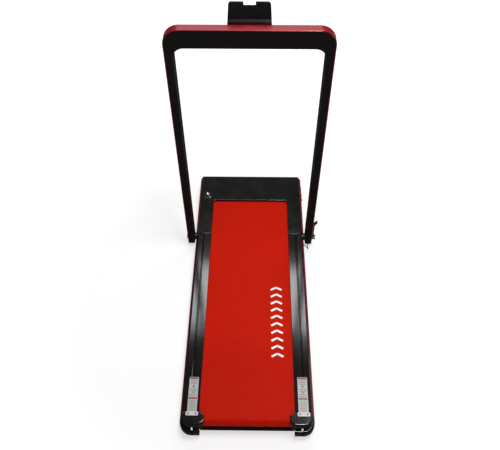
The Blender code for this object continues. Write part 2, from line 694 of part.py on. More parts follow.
def switch_panel():
    """On the right-hand rim: the rocker switch, the breaker's reset button and the mains inlet."""
    z, rim = SWITCH_Z, TOP_HALF_WIDTH + RIM_PROUD + GAP
    bezel = box("switch_bezel", (rim, 0.5165, z - 0.013), (rim + 0.0025, 0.5665, z + 0.013), BLACK_SATIN)
    case = box("switch_case", (0.215, 0.5200, z - 0.010), (rim + 0.001, 0.5630, z + 0.010), CUTTER)
    cut(bezel, case, "UNION")
    y, half = ROCKER_Y, 0.0068
    cut_box(bezel, "rocker_pocket", (0.238, y - half, z - 0.0095), (0.26, y + half, z + 0.0095))
    cut_hole(bezel, "breaker_pocket", (0.2485, BREAKER_Y, z), "X", 0.0049, 0.025, 16)

    rocker = [(-0.004, 0.0068), (-0.004, -0.0068), (0.0102, -0.0078), (0.0080, 0), (0.0102, 0.0078)]
    tilt = Matrix.Rotation(-ROCKER_TILT, 2)
    outline = [Vector((ROCKER_PIVOT_X, z)) + tilt @ Vector(p) for p in rocker]
    button = prism("rocker_button", outline, "Y", y - half + 0.0005, y + half - 0.0005, BLACK_SATIN)
    hang_on(joint_empty("rocker_pivot", (ROCKER_PIVOT_X, y, z)), button)

    start, end, radius = 0.240, 0.256, 0.0045
    reset = [(0, start), (radius, start), (radius, end - 0.001), (radius - 0.001, end), (0, end)]
    turned("breaker_button", reset, BLACK_SATIN, (0, BREAKER_Y, z), "X", 16)

    y = INLET_Y
    inlet = box("power_inlet", (rim, y - 0.015, z - 0.013), (rim + 0.0027, y + 0.015, z + 0.013), BLACK_SATIN)
    case = box("inlet_case", (0.215, y - 0.012, z - 0.010), (rim + 0.001, y + 0.012, z + 0.010), CUTTER)
    cut(inlet, case, "UNION")
    cut_box(inlet, "inlet_socket", (0.233, y - 0.010, z - 0.007), (0.26, y + 0.010, z + 0.007))
    for name, dy, dz in (("line", -0.005, -0.002), ("neutral", 0.005, -0.002), ("earth", 0, 0.003)):
        low, high = (0.230, y + dy - 0.001, z + dz - 0.002), (0.245, y + dy + 0.001, z + dz + 0.002)
        cut(inlet, box(f"{name}_pin", low, high, CUTTER), "UNION")


def transport_wheels():
    """Small wheels under the front, just clear of the floor until the rear is lifted."""
    for side_name, side in SIDES:
        x = side * WHEEL_X
        low, high = (x - 0.012, 0.572, 0.0150), (x + 0.012, 0.612, 0.0375)
        housing = box(f"{side_name}_wheel_housing", low, high, BLACK_SATIN)
        cut_box(housing, f"{side_name}_wheel_pocket", (x - 0.0095, 0.5745, 0.01), (x + 0.0095, 0.6095, 0.035))
        cut_hole(housing, f"{side_name}_axle_hole", (x, WHEEL_Y, WHEEL_Z), "X", 0.0033, 0.04, 12)
        axle = [(0, -0.0125), (0.003, -0.0125), (0.003, 0.0125), (0, 0.0125)]
        turned(f"{side_name}_wheel_axle", axle, ZINC, (x, WHEEL_Y, WHEEL_Z), "X", 12)
        tread = [
            (0.0034, -0.0075),
            (WHEEL_RADIUS - 0.0015, -0.0075),
            (WHEEL_RADIUS, -0.006),
            (WHEEL_RADIUS, 0.006),
            (WHEEL_RADIUS - 0.0015, 0.0075),
            (0.0034, 0.0075),
        ]
        turned(f"{side_name}_wheel", tread, RUBBER, (x, WHEEL_Y, WHEEL_Z), "X", 24)


# --- hoop -----------------------------------------------------------------------------------


def reach_of_corner(corner_centre, direction):
    """How far the hoop's outer outline is from the inner corner's centre, in that direction."""
    width = HOOP_OUTER_X - corner_centre.x
    height = HOOP_TOP - corner_centre.y
    distances = [width / direction.x if direction.x > 1e-6 else math.inf]
    distances.append(height / direction.y if direction.y > 1e-6 else math.inf)
    hit = direction * min(distances)
    radius = HOOP_OUTER_RADIUS
    arc_centre = Vector((width - radius, height - radius))
    if hit.x <= arc_centre.x or hit.y <= arc_centre.y:
        return min(distances)
    along = direction.dot(arc_centre)
    return along + math.sqrt(along**2 - arc_centre.length_squared + radius**2)


def hoop_stations():
    """(inner point, direction outwards, thickness) from the left foot of the hoop round to the right one."""
    radius = HOOP_INNER_RADIUS
    centre = Vector((HOOP_INNER_X - radius, HOOP_UNDERSIDE - radius))
    thickness = HOOP_OUTER_X - HOOP_INNER_X
    right = [(Vector((HOOP_INNER_X, HOOP_BOTTOM)), Vector((1, 0)), thickness)]
    steps = 8
    for step in range(steps + 1):
        angle = math.pi / 2 * step / steps
        outward = Vector((math.cos(angle), math.sin(angle)))
        right.append((centre + radius * outward, outward, reach_of_corner(centre, outward) - radius))
    left = [(Vector((-p.x, p.y)), Vector((-n.x, n.y)), t) for p, n, t in right]
    return left + right[::-1]


def hoop_ring(station, section):
    """The section's points, each (distance from the inner face, depth), at one station of the hoop."""
    point, outward, _ = station
    ring = []
    for distance, depth in section:
        across = point + outward * distance
        ring.append((across.x, HOOP_PIVOT.y + depth, across.y))
    return ring


def hoop():
    """The red tube and the black fascia over its front and inner faces."""
    front, back, edge = FASCIA + GAP - HOOP_DEPTH / 2, HOOP_DEPTH / 2, 0.004
    inner_face = FASCIA + GAP
    stations = hoop_stations()
    outer_rings, inner_rings, fascia_rings = [], [], []
    for station in stations:
        outer_face = station[2]
        tube = rounded_outline(
            [
                (inner_face + HOOP_DRAFT, front, 0),
                (outer_face, front, edge),
                (outer_face, back, edge),
                (inner_face, back, 0.002),
            ],
            2,
        )
        outer_rings.append(hoop_ring(station, tube))
        inner_rings.append(hoop_ring(station, inset_outline(tube, TUBE_WALL)))
        face, lip = -HOOP_DEPTH / 2, outer_face - 0.0015
        fascia = [
            (HOOP_DRAFT, face),
            (lip, face),
            (lip, face + FASCIA),
            (FASCIA + HOOP_DRAFT, face + FASCIA),
            (FASCIA, back - 0.002),
            (0.0, back - 0.002),
        ]
        fascia_rings.append(hoop_ring(station, fascia))
    frame = hollow_swept("hoop_frame", outer_rings, inner_rings, RED_PAINT)
    fascia = swept("hoop_fascia", fascia_rings, BLACK_GLOSS)
    for piece in (frame, fascia):
        cut_hole(piece, f"{piece.name}_pivot_hole", HOOP_PIVOT, "X", PIVOT_BOLT_RADIUS + 0.0006, 0.7, 16)
    y = HOOP_PIVOT.y
    cut_box(frame, "display_window", (-0.112, y - 0.03, 1.082), (0.112, y - 0.005, 1.130))
    return [frame, fascia]


def console():
    """The display and its circuit board, behind the fascia in the middle of the crossbar."""
    y = HOOP_PIVOT.y - HOOP_DEPTH / 2 + FASCIA
    board = box("console_board", (-0.105, y + 0.0068, 1.084), (0.105, y + 0.0084, 1.128), CIRCUIT_GREEN)
    display = box("display_block", (-0.050, y + GAP, 1.088), (0.050, y + 0.0075, 1.124), CUTTER)
    cut(board, display, "UNION")
    return board


def holder():
    """A device rest behind the crossbar: a leaning plate with a notch, a ledge with a lip, and a mounting tongue."""
    back_face = HOOP_PIVOT.y + HOOP_DEPTH / 2
    floor, thickness, ledge = HOOP_TOP + GAP, 0.0035, 0.0190
    lean = math.tan(math.radians(12))
    top, notch_depth = floor + 0.0607, 0.0110
    root = back_face + GAP
    rise = (top - floor - thickness) * lean
    side_view = [
        Vector((root, 1.090)),
        Vector((root + 0.004, 1.090)),
        Vector((root + 0.004, floor - 0.004)),
        Vector((root + ledge + thickness, floor)),
        Vector((root + ledge + thickness + rise, top)),
        Vector((root + ledge + rise, top)),
        Vector((root + ledge, floor + thickness)),
        Vector((root + 0.003, floor + thickness)),
        Vector((root + 0.003, floor + thickness + 0.005)),
        Vector((root, floor + thickness + 0.005)),
    ]
    plate = prism("holder_plate", side_view, "X", -0.075, 0.075, BLACK_SATIN)
    half_low, half_high, notch = 0.0735, 0.0690, 0.0200
    front_view = [
        (-0.030, 1.085, 0),
        (0.030, 1.085, 0),
        (0.030, floor - 0.006, 0),
        (half_low, floor - 0.006, 0),
        (half_high, top + 0.0005, 0.011),
        (notch, top + 0.0005, 0),
        (notch, top - notch_depth, 0),
        (-notch, top - notch_depth, 0),
        (-notch, top + 0.0005, 0),
        (-half_high, top + 0.0005, 0.011),
        (-half_low, floor - 0.006, 0),
        (-0.030, floor - 0.006, 0),
    ]
    outline = rounded_outline(front_view, 5)
    cut(plate, prism("holder_outline", outline, "Y", back_face - 0.01, back_face + 0.08, CUTTER), "INTERSECT")
    return plate


def upright_plugs():
    """Plugs that close the feet of the hoop; the right one lets the console cable out."""
    plugs = []
    tube_x = (HOOP_INNER_X + FASCIA + GAP, HOOP_OUTER_X)
    tube_y = (HOOP_PIVOT.y - HOOP_DEPTH / 2 + FASCIA + GAP, HOOP_PIVOT.y + HOOP_DEPTH / 2)
    inset = TUBE_WALL + GAP
    for side_name, side in SIDES:
        y = (tube_y[0] + 0.001, tube_y[1] - 0.001)
        x = (tube_x[0] + 0.001, tube_x[1] - 0.001)
        plug = side_box(f"{side_name}_upright_plug", side, x, y, (CABLE_EXIT.z, HOOP_BOTTOM - GAP), RUBBER)
        x = (tube_x[0] + inset + HOOP_DRAFT, tube_x[1] - inset)
        y = (tube_y[0] + inset, tube_y[1] - inset)
        stem = side_box(f"{side_name}_plug_stem", side, x, y, (0.0280, 0.0430), CUTTER)
        round_edges(stem, 0.0015, 1)
        cut(plug, stem, "UNION")
        if side > 0:
            cut_hole(plug, "cable_hole", (CABLE_EXIT.x, CABLE_EXIT.y, 0.04), "Z", CABLE_RADIUS + 0.0005, 0.06, 12)
        plugs.append(plug)
    return plugs


def pivots():
    """Bosses on the base, the left-hand bolt, and the right-hand skewer with the clevis for its lever."""
    bore = PIVOT_BOLT_RADIUS + 0.0004
    tube_face, flange, boss_end = TUBE_OUTER_X + GAP, 0.2345, HOOP_INNER_X - 0.0005
    for side_name, side in SIDES:
        profile = [
            (bore, side * tube_face),
            (0.025, side * tube_face),
            (0.025, side * flange),
            (PIVOT_BOSS_RADIUS, side * flange),
            (PIVOT_BOSS_RADIUS, side * boss_end),
            (bore, side * boss_end),
        ]
        turned(f"{side_name}_pivot_bracket", profile, BLACK_STEEL, HOOP_PIVOT, "X", 24)
    start, face, radius = tube_face + 0.001, HOOP_OUTER_X, PIVOT_BOLT_RADIUS
    bolt = [
        (0, -start),
        (radius, -start),
        (radius, -face - GAP),
        (0.0115, -face - GAP),
        (0.0115, -face - 0.0025),
        (0.0090, -face - 0.0042),
        (0, -face - 0.0045),
    ]
    turned("left_pivot_bolt", bolt, BLACK_STEEL, HOOP_PIVOT, "X", 20)

    rod = [(0, start), (radius, start), (radius, face + 0.002), (0, face + 0.002)]
    skewer = turned("right_pivot_skewer", rod, CHROME, HOOP_PIVOT, "X", 20)
    y, z, half = HOOP_PIVOT.y, HOOP_PIVOT.z, 0.0085
    head = box("clevis", (face + 0.0006, y - half, z - half), (LEVER_PIN_X + 0.005, y + half, z + half), CUTTER)
    cut(skewer, head, "UNION")
    cut_box(skewer, "clevis_slot", (LEVER_PIN_X - 0.0065, y - 0.0045, z - 0.02), (0.32, y + 0.0045, z + 0.02))
    cut_hole(skewer, "clevis_hole", (LEVER_PIN_X, y, z), "Y", 0.0033, 0.04, 12)
    pin = [(0, -0.0088), (0.003, -0.0088), (0.003, 0.0088), (0, 0.0088)]
    pin = turned("lever_cam_pin", pin, ZINC, (LEVER_PIN_X, y, z), "Y", 12)
    return [skewer, pin]


def release_lever():
    """The cam lever that clamps the hoop upright; it lies up along the right-hand upright."""
    y, z, x, eye = HOOP_PIVOT.y, HOOP_PIVOT.z, LEVER_PIN_X, 0.006
    neck = [
        (x - eye, z - eye, 0.0055),
        (x + eye, z - eye, 0.0055),
        (x + eye, z + 0.007, 0.003),
        (x - 0.0030, z + 0.0175, 0),
        (x - 0.0075, z + 0.0175, 0),
        (x - eye + 0.0002, z + 0.0105, 0),
    ]
    lever = prism("release_lever", rounded_outline(neck, 4), "Y", y - 0.004, y + 0.004, CHROME)
    paddle = [
        (x - 0.0080, z + 0.0145, 0.001),
        (x - 0.0030, z + 0.0145, 0.001),
        (x - 0.0030, z + 0.0880, 0.02),
        (x + 0.0085, z + 0.1060, 0.0012),
        (x + 0.0057, z + 0.1078, 0.0012),
        (x - 0.0080, z + 0.0900, 0.02),
    ]
    blade = prism("lever_paddle", rounded_outline(paddle, 3), "Y", y - 0.0085, y + 0.0085, CUTTER)
    cut(lever, blade, "UNION")
    cut_hole(lever, "cam_hole", (x, y, z), "Y", 0.0034, 0.03, 12)
    return lever


# --- console cable --------------------------------------------------------------------------


def smooth_route(points, steps):
    """Points along a Catmull-Rom curve through the route's own points."""
    padded = [points[0] * 2 - points[1], *points, points[-1] * 2 - points[-2]]
    route = []
    for before, start, end, after in zip(padded, padded[1:], padded[2:], padded[3:]):
        for step in range(steps):
            t = step / steps
            even = 2 * start + (2 * before - 5 * start + 4 * end - after) * t**2
            odd = (end - before) * t + (3 * start - before - 3 * end + after) * t**3
            route.append((even + odd) / 2)
    return [*route, points[-1]]


def console_cable():
    """The lead from the foot of the right-hand upright back into the base."""
    exit_x, exit_y, exit_z = CABLE_EXIT
    points = [
        Vector((exit_x, exit_y, exit_z - GAP)),
        Vector((exit_x, exit_y - 0.0010, 0.0190)),
        Vector((exit_x, exit_y - 0.0070, 0.0120)),
        Vector((0.2725, 0.2620, 0.0095)),
        Vector((0.2730, 0.2500, 0.0120)),
        Vector((0.2710, 0.2410, 0.0200)),
        Vector((0.2670, 0.2390, 0.0300)),
        Vector((0.2610, 0.2425, 0.0370)),
        Vector((GROMMET.x + 0.0026, GROMMET.y, GROMMET.z)),
    ]
    curve = bpy.data.curves.new("console_cable", "CURVE")
    curve.dimensions = "3D"
    curve.bevel_depth = CABLE_RADIUS
    curve.bevel_resolution = 2
    curve.use_fill_caps = True
    curve.materials.append(RUBBER)
    route = smooth_route(points, 2)
    spline = curve.splines.new("POLY")
    spline.points.add(len(route) - 1)
    for spline_point, place in zip(spline.points, route):
        spline_point.co = (*place, 1.0)
    cable = bpy.data.objects.new("console_cable", curve)
    bpy.context.scene.collection.objects.link(cable)
    bore, neck, flange = CABLE_RADIUS + 0.0004, 0.0032, 0.0052
    ring = [(bore, -0.006), (neck, -0.006), (neck, GAP), (flange, GAP), (flange - 0.0006, 0.0022), (bore, 0.0022)]
    turned("cable_grommet", ring, RUBBER, GROMMET, "X", 16)


# --- the whole object -----------------------------------------------------------------------

for old in list(bpy.data.objects):
    bpy.data.objects.remove(old, do_unlink=True)

BLACK_GLOSS = finish("black gloss plastic", (0.010, 0.010, 0.011), 0.15)
BLACK_SATIN = finish("black satin plastic", (0.012, 0.012, 0.012), 0.35)
BLACK_STEEL = finish("black painted steel", (0.015, 0.015, 0.016), 0.40)
RED_PAINT = finish("red painted metal", (0.300, 0.008, 0.020), 0.20)
BELT_RED = finish("red belt", (0.500, 0.020, 0.008), 0.60)
RUBBER = finish("rubber", (0.012, 0.012, 0.012), 0.80)
FIBREBOARD = finish("fibreboard", (0.250, 0.160, 0.090), 0.70)
STEEL = finish("bright steel", (0.550, 0.550, 0.560), 0.30, 1.0)
DARK_STEEL = finish("motor steel", (0.050, 0.050, 0.055), 0.40, 1.0)
ZINC = finish("zinc plate", (0.600, 0.600, 0.620), 0.35, 1.0)
CHROME = finish("chrome", (0.750, 0.750, 0.760), 0.08, 1.0)
ALUMINIUM = finish("aluminium", (0.600, 0.600, 0.610), 0.35, 1.0)
CIRCUIT_GREEN = finish("circuit board", (0.010, 0.120, 0.040), 0.45)
CUTTER = finish("cutter", (1.0, 0.3, 0.0), 1.0)

frame_tubes()
cross_tubes()
deck()
feet()
running_belt()
rollers()
adjusting_bolts()
motor_cover()
foot_rails()
side_skirts()
end_caps()
rear_guard()
motor_tray()
motor()
drive()
controller()
safety_key()
switch_panel()
transport_wheels()
hoop_pieces = [*hoop(), console(), holder(), *upright_plugs(), *pivots()]
hang_on(joint_empty("hoop_pivot", HOOP_PIVOT), *hoop_pieces)
hang_on(joint_empty("lever_pivot", (LEVER_PIN_X, HOOP_PIVOT.y, HOOP_PIVOT.z)), release_lever())
console_cable()
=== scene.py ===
"""Looks for a flat walking treadmill with a folding handrail hoop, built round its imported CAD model.

Units are metres. +Y is the front, where the motor is, +X is the walker's right, and +Z is up.
"""

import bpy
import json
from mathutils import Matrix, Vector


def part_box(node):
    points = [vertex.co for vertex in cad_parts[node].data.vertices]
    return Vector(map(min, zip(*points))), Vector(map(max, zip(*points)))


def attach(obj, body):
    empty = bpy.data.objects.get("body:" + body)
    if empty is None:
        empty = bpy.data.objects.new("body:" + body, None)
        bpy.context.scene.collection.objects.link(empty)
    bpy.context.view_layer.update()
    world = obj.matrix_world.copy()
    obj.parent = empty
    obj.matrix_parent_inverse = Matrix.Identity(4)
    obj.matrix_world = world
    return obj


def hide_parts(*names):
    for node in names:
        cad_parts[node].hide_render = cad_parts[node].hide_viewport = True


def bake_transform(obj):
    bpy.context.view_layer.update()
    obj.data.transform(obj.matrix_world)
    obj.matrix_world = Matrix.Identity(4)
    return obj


bl_info = {
    "name": "Walking Treadmill",
    "version": (1, 0, 0),
    "blender": (4, 5, 0),
    "location": "3D View > Sidebar > Treadmill",
    "description": "Builds the visible pieces of a flat walking treadmill on its CAD frame",
    "category": "Object",
}

import json
import math

import bmesh
import bpy
from bpy.props import FloatProperty, FloatVectorProperty, IntProperty, PointerProperty
from bpy.types import Operator, Panel, PropertyGroup
from mathutils import Matrix, Vector

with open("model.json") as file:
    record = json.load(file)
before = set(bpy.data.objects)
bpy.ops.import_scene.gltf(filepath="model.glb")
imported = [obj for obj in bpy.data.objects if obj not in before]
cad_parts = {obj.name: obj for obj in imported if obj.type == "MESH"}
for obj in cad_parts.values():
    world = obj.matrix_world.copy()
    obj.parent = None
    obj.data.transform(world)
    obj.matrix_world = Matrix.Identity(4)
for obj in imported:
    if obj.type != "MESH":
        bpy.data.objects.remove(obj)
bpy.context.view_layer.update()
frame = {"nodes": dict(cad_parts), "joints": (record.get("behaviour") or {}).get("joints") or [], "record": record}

SIDES = (("left", -1), ("right", 1))
AXES = {"X": 0, "Y": 1, "Z": 2}
MM = 0.001


def joint(name):
    """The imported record's entry for a joint."""
    return next(j for j in frame["joints"] if j["name"] == name)


HOOP_PIVOT = Vector(joint("hoop_fold")["pos_m"])
REAR_ROLLER = Vector(joint("rear_roller_spin")["pos_m"])
FRONT_ROLLER = Vector(joint("front_roller_spin")["pos_m"])


def linear(hex_colour):
    """An sRGB hex colour as linear red, green and blue."""
    channels = [int(hex_colour[i : i + 2], 16) / 255 for i in (1, 3, 5)]
    return tuple(c / 12.92 if c <= 0.04045 else ((c + 0.055) / 1.055) ** 2.4 for c in channels)


# --- sizes and colours ----------------------------------------------------------------------


def length(name, default, description):
    return FloatProperty(name=name, default=default, description=description, unit="LENGTH", precision=5)


def colour(name, default, description):
    return FloatVectorProperty(
        name=name, default=linear(default), description=description, subtype="COLOR", min=0.0, max=1.0
    )


class TreadmillSizes(PropertyGroup):
    """Sizes of the finish, in metres."""

    cover_round: length("Cover edge", 0.0035, "Radius of the motor cover's top edge")
    cap_round: length("Cap edge", 0.006, "Radius of the end caps' top edge")
    wall: length("Wall", 0.003, "Thickness of the moulded covers")
    rim_proud: length("Rim", 0.011, "How far the red rim stands out from the black top")
    fascia: length("Fascia", 0.003, "Thickness of the black fascia on the hoop")
    chevron_width: length("Chevron width", 0.046, "Width of the printed chevrons across the belt")
    chevron_pitch: length("Chevron pitch", 0.0345, "Distance between printed chevrons")
    screw_radius: length("Screw head", 0.0042, "Radius of the cover screws' heads")
    chevrons: IntProperty(name="Chevrons", default=10, description="How many chevrons are printed", min=1)


class TreadmillColours(PropertyGroup):
    """Colours of the finishes."""

    belt: colour("Belt", "#ba1602", "Red PVC of the running belt")
    rim: colour("Red paint", "#8f0c1c", "Metallic red enamel on the rim and hoop")
    cover: colour("Cover", "#131312", "Black ABS of the motor cover")
    rail: colour("Foot rail", "#0f0f0e", "Black ABS of the foot rails and end caps")
    fascia: colour("Fascia", "#12100f", "Black ABS of the hoop's fascia")
    label: colour("Label", "#aeaba8", "White vinyl of the labels")
    print_red: colour("Label red", "#860a22", "Red ink on the labels")
    print_grey: colour("Label grey", "#58595b", "Grey ink on the labels")
    chevron: colour("Chevron", "#f2efec", "White ink on the belt")


class TreadmillStudio(PropertyGroup):
    """Camera and lights."""

    camera_x: length("Camera X", 0.022, "Camera position across the belt")
    camera_y: length("Camera Y", -1.4027, "Camera position along the belt")
    camera_z: length("Camera Z", 2.1557, "Camera height")
    camera_pitch: FloatProperty(
        name="Pitch", default=0.8742, description="How far the camera looks down", subtype="ANGLE"
    )
    camera_yaw: FloatProperty(name="Yaw", default=-0.0127, description="Camera turn", subtype="ANGLE")
    camera_roll: FloatProperty(name="Roll", default=-0.0018, description="Camera roll", subtype="ANGLE")
    camera_lens: FloatProperty(name="Lens", default=41.46, description="Focal length in millimetres", min=1.0)
    key_power: FloatProperty(name="Key", default=82.0, description="Key softbox power", subtype="POWER")
    back_power: FloatProperty(name="Back", default=48.0, description="Rear softbox power", subtype="POWER")
    side_power: FloatProperty(name="Side", default=34.0, description="Side softbox power", subtype="POWER")
    crossbar_power: FloatProperty(name="Crossbar", default=8.5, description="Distant softbox power", subtype="POWER")


def sizes():
    return bpy.context.scene.treadmill_sizes


def colours():
    return bpy.context.scene.treadmill_colours


# --- materials ------------------------------------------------------------------------------


def node(tree, kind, values=None, links=None, **settings):
    """Adds a node: values are socket defaults, links are {input: (node, output)}."""
    made = tree.nodes.new(kind)
    for name, value in settings.items():
        setattr(made, name, value)
    for name, value in (values or {}).items():
        made.inputs[name].default_value = value
    for name, (source, output) in (links or {}).items():
        tree.links.new(source.outputs[output], made.inputs[name])
    return made


def start_material(name, base, roughness, metallic=0.0, **sockets):
    """A new Principled material: its tree, shader and Object coordinates, ready for patterns."""
    material = bpy.data.materials.new(name)
    material.use_nodes = True
    tree = material.node_tree
    shader = tree.nodes["Principled BSDF"]
    shader.inputs["Base Color"].default_value = (*base, 1.0)
    shader.inputs["Roughness"].default_value = roughness
    shader.inputs["Metallic"].default_value = metallic
    for socket, value in sockets.items():
        shader.inputs[socket.replace("_", " ")].default_value = value
    place = node(tree, "ShaderNodeTexCoord")
    return material, tree, shader, place


def raised_grain(tree, shader, place, size_mm, height_mm, detail=2.0):
    """Surface relief of one grain size."""
    grain = node(
        tree, "ShaderNodeTexNoise", {"Scale": 1 / (size_mm * MM), "Detail": detail}, {"Vector": (place, "Object")}
    )
    bump = node(tree, "ShaderNodeBump", {"Strength": 1.0, "Distance": height_mm * MM}, {"Height": (grain, "Fac")})
    tree.links.new(bump.outputs["Normal"], shader.inputs["Normal"])


def handled_gloss(tree, shader, place, size_mm, low, high):
    """Roughness that drifts between low and high over a patch size, as handling and dust leave it."""
    drift = node(
        tree, "ShaderNodeTexNoise", {"Scale": 1 / (size_mm * MM), "Detail": 4.0}, {"Vector": (place, "Object")}
    )
    spread = node(
        tree,
        "ShaderNodeMapRange",
        {"From Min": 0.3, "From Max": 0.7, "To Min": low, "To Max": high},
        {"Value": (drift, "Fac")},
    )
    tree.links.new(spread.outputs["Result"], shader.inputs["Roughness"])


def mottled_colour(tree, shader, place, size_mm, base, shade):
    """Base colour that varies between two near tones; shade is the darker tone's share of the first."""
    drift = node(
        tree, "ShaderNodeTexNoise", {"Scale": 1 / (size_mm * MM), "Detail": 5.0}, {"Vector": (place, "Object")}
    )
    tones = node(tree, "ShaderNodeValToRGB", links={"Fac": (drift, "Fac")})
    tones.color_ramp.elements[0].position = 0.35
    tones.color_ramp.elements[0].color = (*[c * shade for c in base], 1.0)
    tones.color_ramp.elements[1].position = 0.65
    tones.color_ramp.elements[1].color = (*base, 1.0)
    tree.links.new(tones.outputs["Color"], shader.inputs["Base Color"])


def skin(name, base, roughness, grain, gloss=None, mottle=None, metallic=0.0, **sockets):
    """A material from its patterns: grain (size, height), gloss (patch size, low, high), mottle (patch size, shade).

    Sizes and heights are in millimetres, low and high are roughness, and shade is the darker tone's share.
    """
    material, tree, shader, place = start_material(name, base, roughness, metallic, **sockets)
    raised_grain(tree, shader, place, *grain)
    if gloss:
        handled_gloss(tree, shader, place, *gloss)
    if mottle:
        mottled_colour(tree, shader, place, mottle[0], base, mottle[1])
    return material


def belt_pvc():
    """PVC on a polyester weave, calendered: a matte red with an emboss of small squares."""
    base = colours().belt
    material, tree, shader, place = start_material("Embossed belt PVC", base, 0.62, Specular_IOR_Level=0.04)
    mottled_colour(tree, shader, place, 400.0, base, 0.94)
    handled_gloss(tree, shader, place, 45.0, 0.46, 0.62)
    # The emboss is a 2 mm square grid, a little coarser than the real one so that it shows.
    squares = {"Scale": 1 / (2 * MM), "Randomness": 0.0}
    grid = node(tree, "ShaderNodeTexVoronoi", squares, {"Vector": (place, "Object")})
    weave = node(tree, "ShaderNodeBump", {"Strength": 0.5, "Distance": 0.15 * MM}, {"Height": (grid, "Distance")})
    tree.links.new(weave.outputs["Normal"], shader.inputs["Normal"])
    return material


def cover_abs():
    """ABS from a polished tool: a deep black, even gloss with the faint waviness of a large moulding."""
    return skin("Polished cover ABS", colours().cover, 0.14, (0.6, 0.003), (60.0, 0.11, 0.18), IOR=1.50)


def rail_abs():
    """ABS extrusion: black with a smooth skin, drawn lengthwise, that shows long soft reflections."""
    material, tree, shader, place = start_material("Extruded rail ABS", colours().rail, 0.12, IOR=1.50)
    stretch = node(tree, "ShaderNodeMapping", {"Scale": (1.0, 0.02, 1.0)}, {"Vector": (place, "Object")})
    lines = node(tree, "ShaderNodeTexNoise", {"Scale": 900.0, "Detail": 3.0}, {"Vector": (stretch, "Vector")})
    drawn = node(tree, "ShaderNodeBump", {"Strength": 0.5, "Distance": 0.004 * MM}, {"Height": (lines, "Fac")})
    tree.links.new(drawn.outputs["Normal"], shader.inputs["Normal"])
    handled_gloss(tree, shader, place, 70.0, 0.10, 0.14)
    return material


def textured_abs():
    """ABS with a fine spark-eroded grain: black and satin, the usual skin of small mouldings."""
    return skin("Grained ABS", colours().rail, 0.30, (0.8, 0.02), (30.0, 0.26, 0.36), IOR=1.50)


def fascia_abs():
    """ABS fascia in soft black: darker than the covers, with a low sheen that keeps it from mirroring."""
    gloss = (90.0, 0.28, 0.42)
    return skin("Soft black fascia ABS", colours().fascia, 0.34, (0.7, 0.012), gloss, Specular_IOR_Level=0.30)


def red_enamel():
    """Baked metallic red enamel under clear coat: dark red that lifts to pink where it faces a light."""
    coat = {"Coat_Weight": 0.5, "Coat_Roughness": 0.08}
    return skin("Metallic red enamel", colours().rim, 0.30, (2.5, 0.006), None, (1.2, 0.80), 0.35, **coat)


def bright_metal(name, base, roughness, grit_mm, depth_mm):
    """A bare or plated metal with its machining or plating grain, cloudy where it was handled."""
    gloss = (12.0, roughness * 0.8, roughness * 1.3)
    return skin(name, linear(base), roughness, (grit_mm, depth_mm, 3.0), gloss, metallic=1.0)


def chrome_plate():
    """Bright chrome over polished steel: near-mirror, with a trace of haze from handling."""
    return bright_metal("Bright chrome plate", "#c9c8c6", 0.13, 4.0, 0.004)


def turned_steel():
    """Turned mild steel: grey, with fine rings from the tool."""
    return bright_metal("Turned steel", "#8f9092", 0.32, 0.5, 0.006)


def zinc_plate():
    """Bright zinc plate on pressed steel: pale and slightly cloudy."""
    return bright_metal("Bright zinc plate", "#b9bbbd", 0.30, 1.5, 0.008)


def mill_aluminium():
    """Die-cast aluminium, tumbled: a pale, soft grey."""
    return bright_metal("Tumbled aluminium", "#9fa1a3", 0.42, 1.0, 0.02)


def powder_coat():
    """Polyester powder coat on steel: black with a fine orange peel."""
    return skin("Black powder coat", linear("#161617"), 0.38, (1.6, 0.03), (25.0, 0.32, 0.46))


def moulded_rubber():
    """Moulded NBR rubber: charcoal, matte and slightly bloomed."""
    base = linear("#1a1a1a")
    return skin("Moulded rubber", base, 0.70, (0.9, 0.04), mottle=(9.0, 0.75), Specular_IOR_Level=0.35)


def cable_pvc():
    """PVC cable jacket: black, flexible, with a soft shine along its length."""
    return skin("Cable jacket PVC", linear("#171717"), 0.42, (0.6, 0.01), (8.0, 0.36, 0.50))


def deck_fibreboard():
    """Waxed medium-density fibreboard: brown, flecked with short fibres."""
    return skin("Waxed fibreboard", linear("#8d6f4d"), 0.60, (1.2, 0.03, 4.0), mottle=(2.5, 0.72))


def board_laminate():
    """Glass-epoxy board under green solder mask: glossy, with the weave just showing."""
    return skin("Green circuit laminate", linear("#0f5a34"), 0.35, (0.5, 0.01), mottle=(1.5, 0.85))


def label_vinyl(name, base, roughness=0.38):
    """Printed vinyl: a thin, even film with a low gloss and slight waviness where it is stuck down."""
    return skin(name, base, roughness, (7.0, 0.02), mottle=(25.0, 0.95))


def studio_floor():
    """Seamless white studio paper, matte, with a painted glow: its own emission is weakest near the machine, painting
    faint shade round it, and strongest away from it.
    """
    base = linear("#a0a0a0")
    material, tree, shader, place = start_material(
        "Studio paper with painted glow", base, 0.9, Specular_IOR_Level=0.0, Emission_Color=(1.0, 1.0, 1.0, 1.0)
    )
    away = node(tree, "ShaderNodeVectorMath", links={0: (place, "Object")}, operation="LENGTH")
    # Painted glow: the paper's emission rises from 0.66 within 0.7 m of the middle to 1.0 beyond 2.2 m, so the paper is
    # painted darker round the machine.
    glow = node(
        tree,
        "ShaderNodeMapRange",
        {"From Min": 0.7, "From Max": 2.2, "To Min": 0.66, "To Max": 1.0},
        {"Value": (away, "Value")},
    )
    tree.links.new(glow.outputs["Result"], shader.inputs["Emission Strength"])
    mottled_colour(tree, shader, place, 900.0, base, 0.998)
    return material


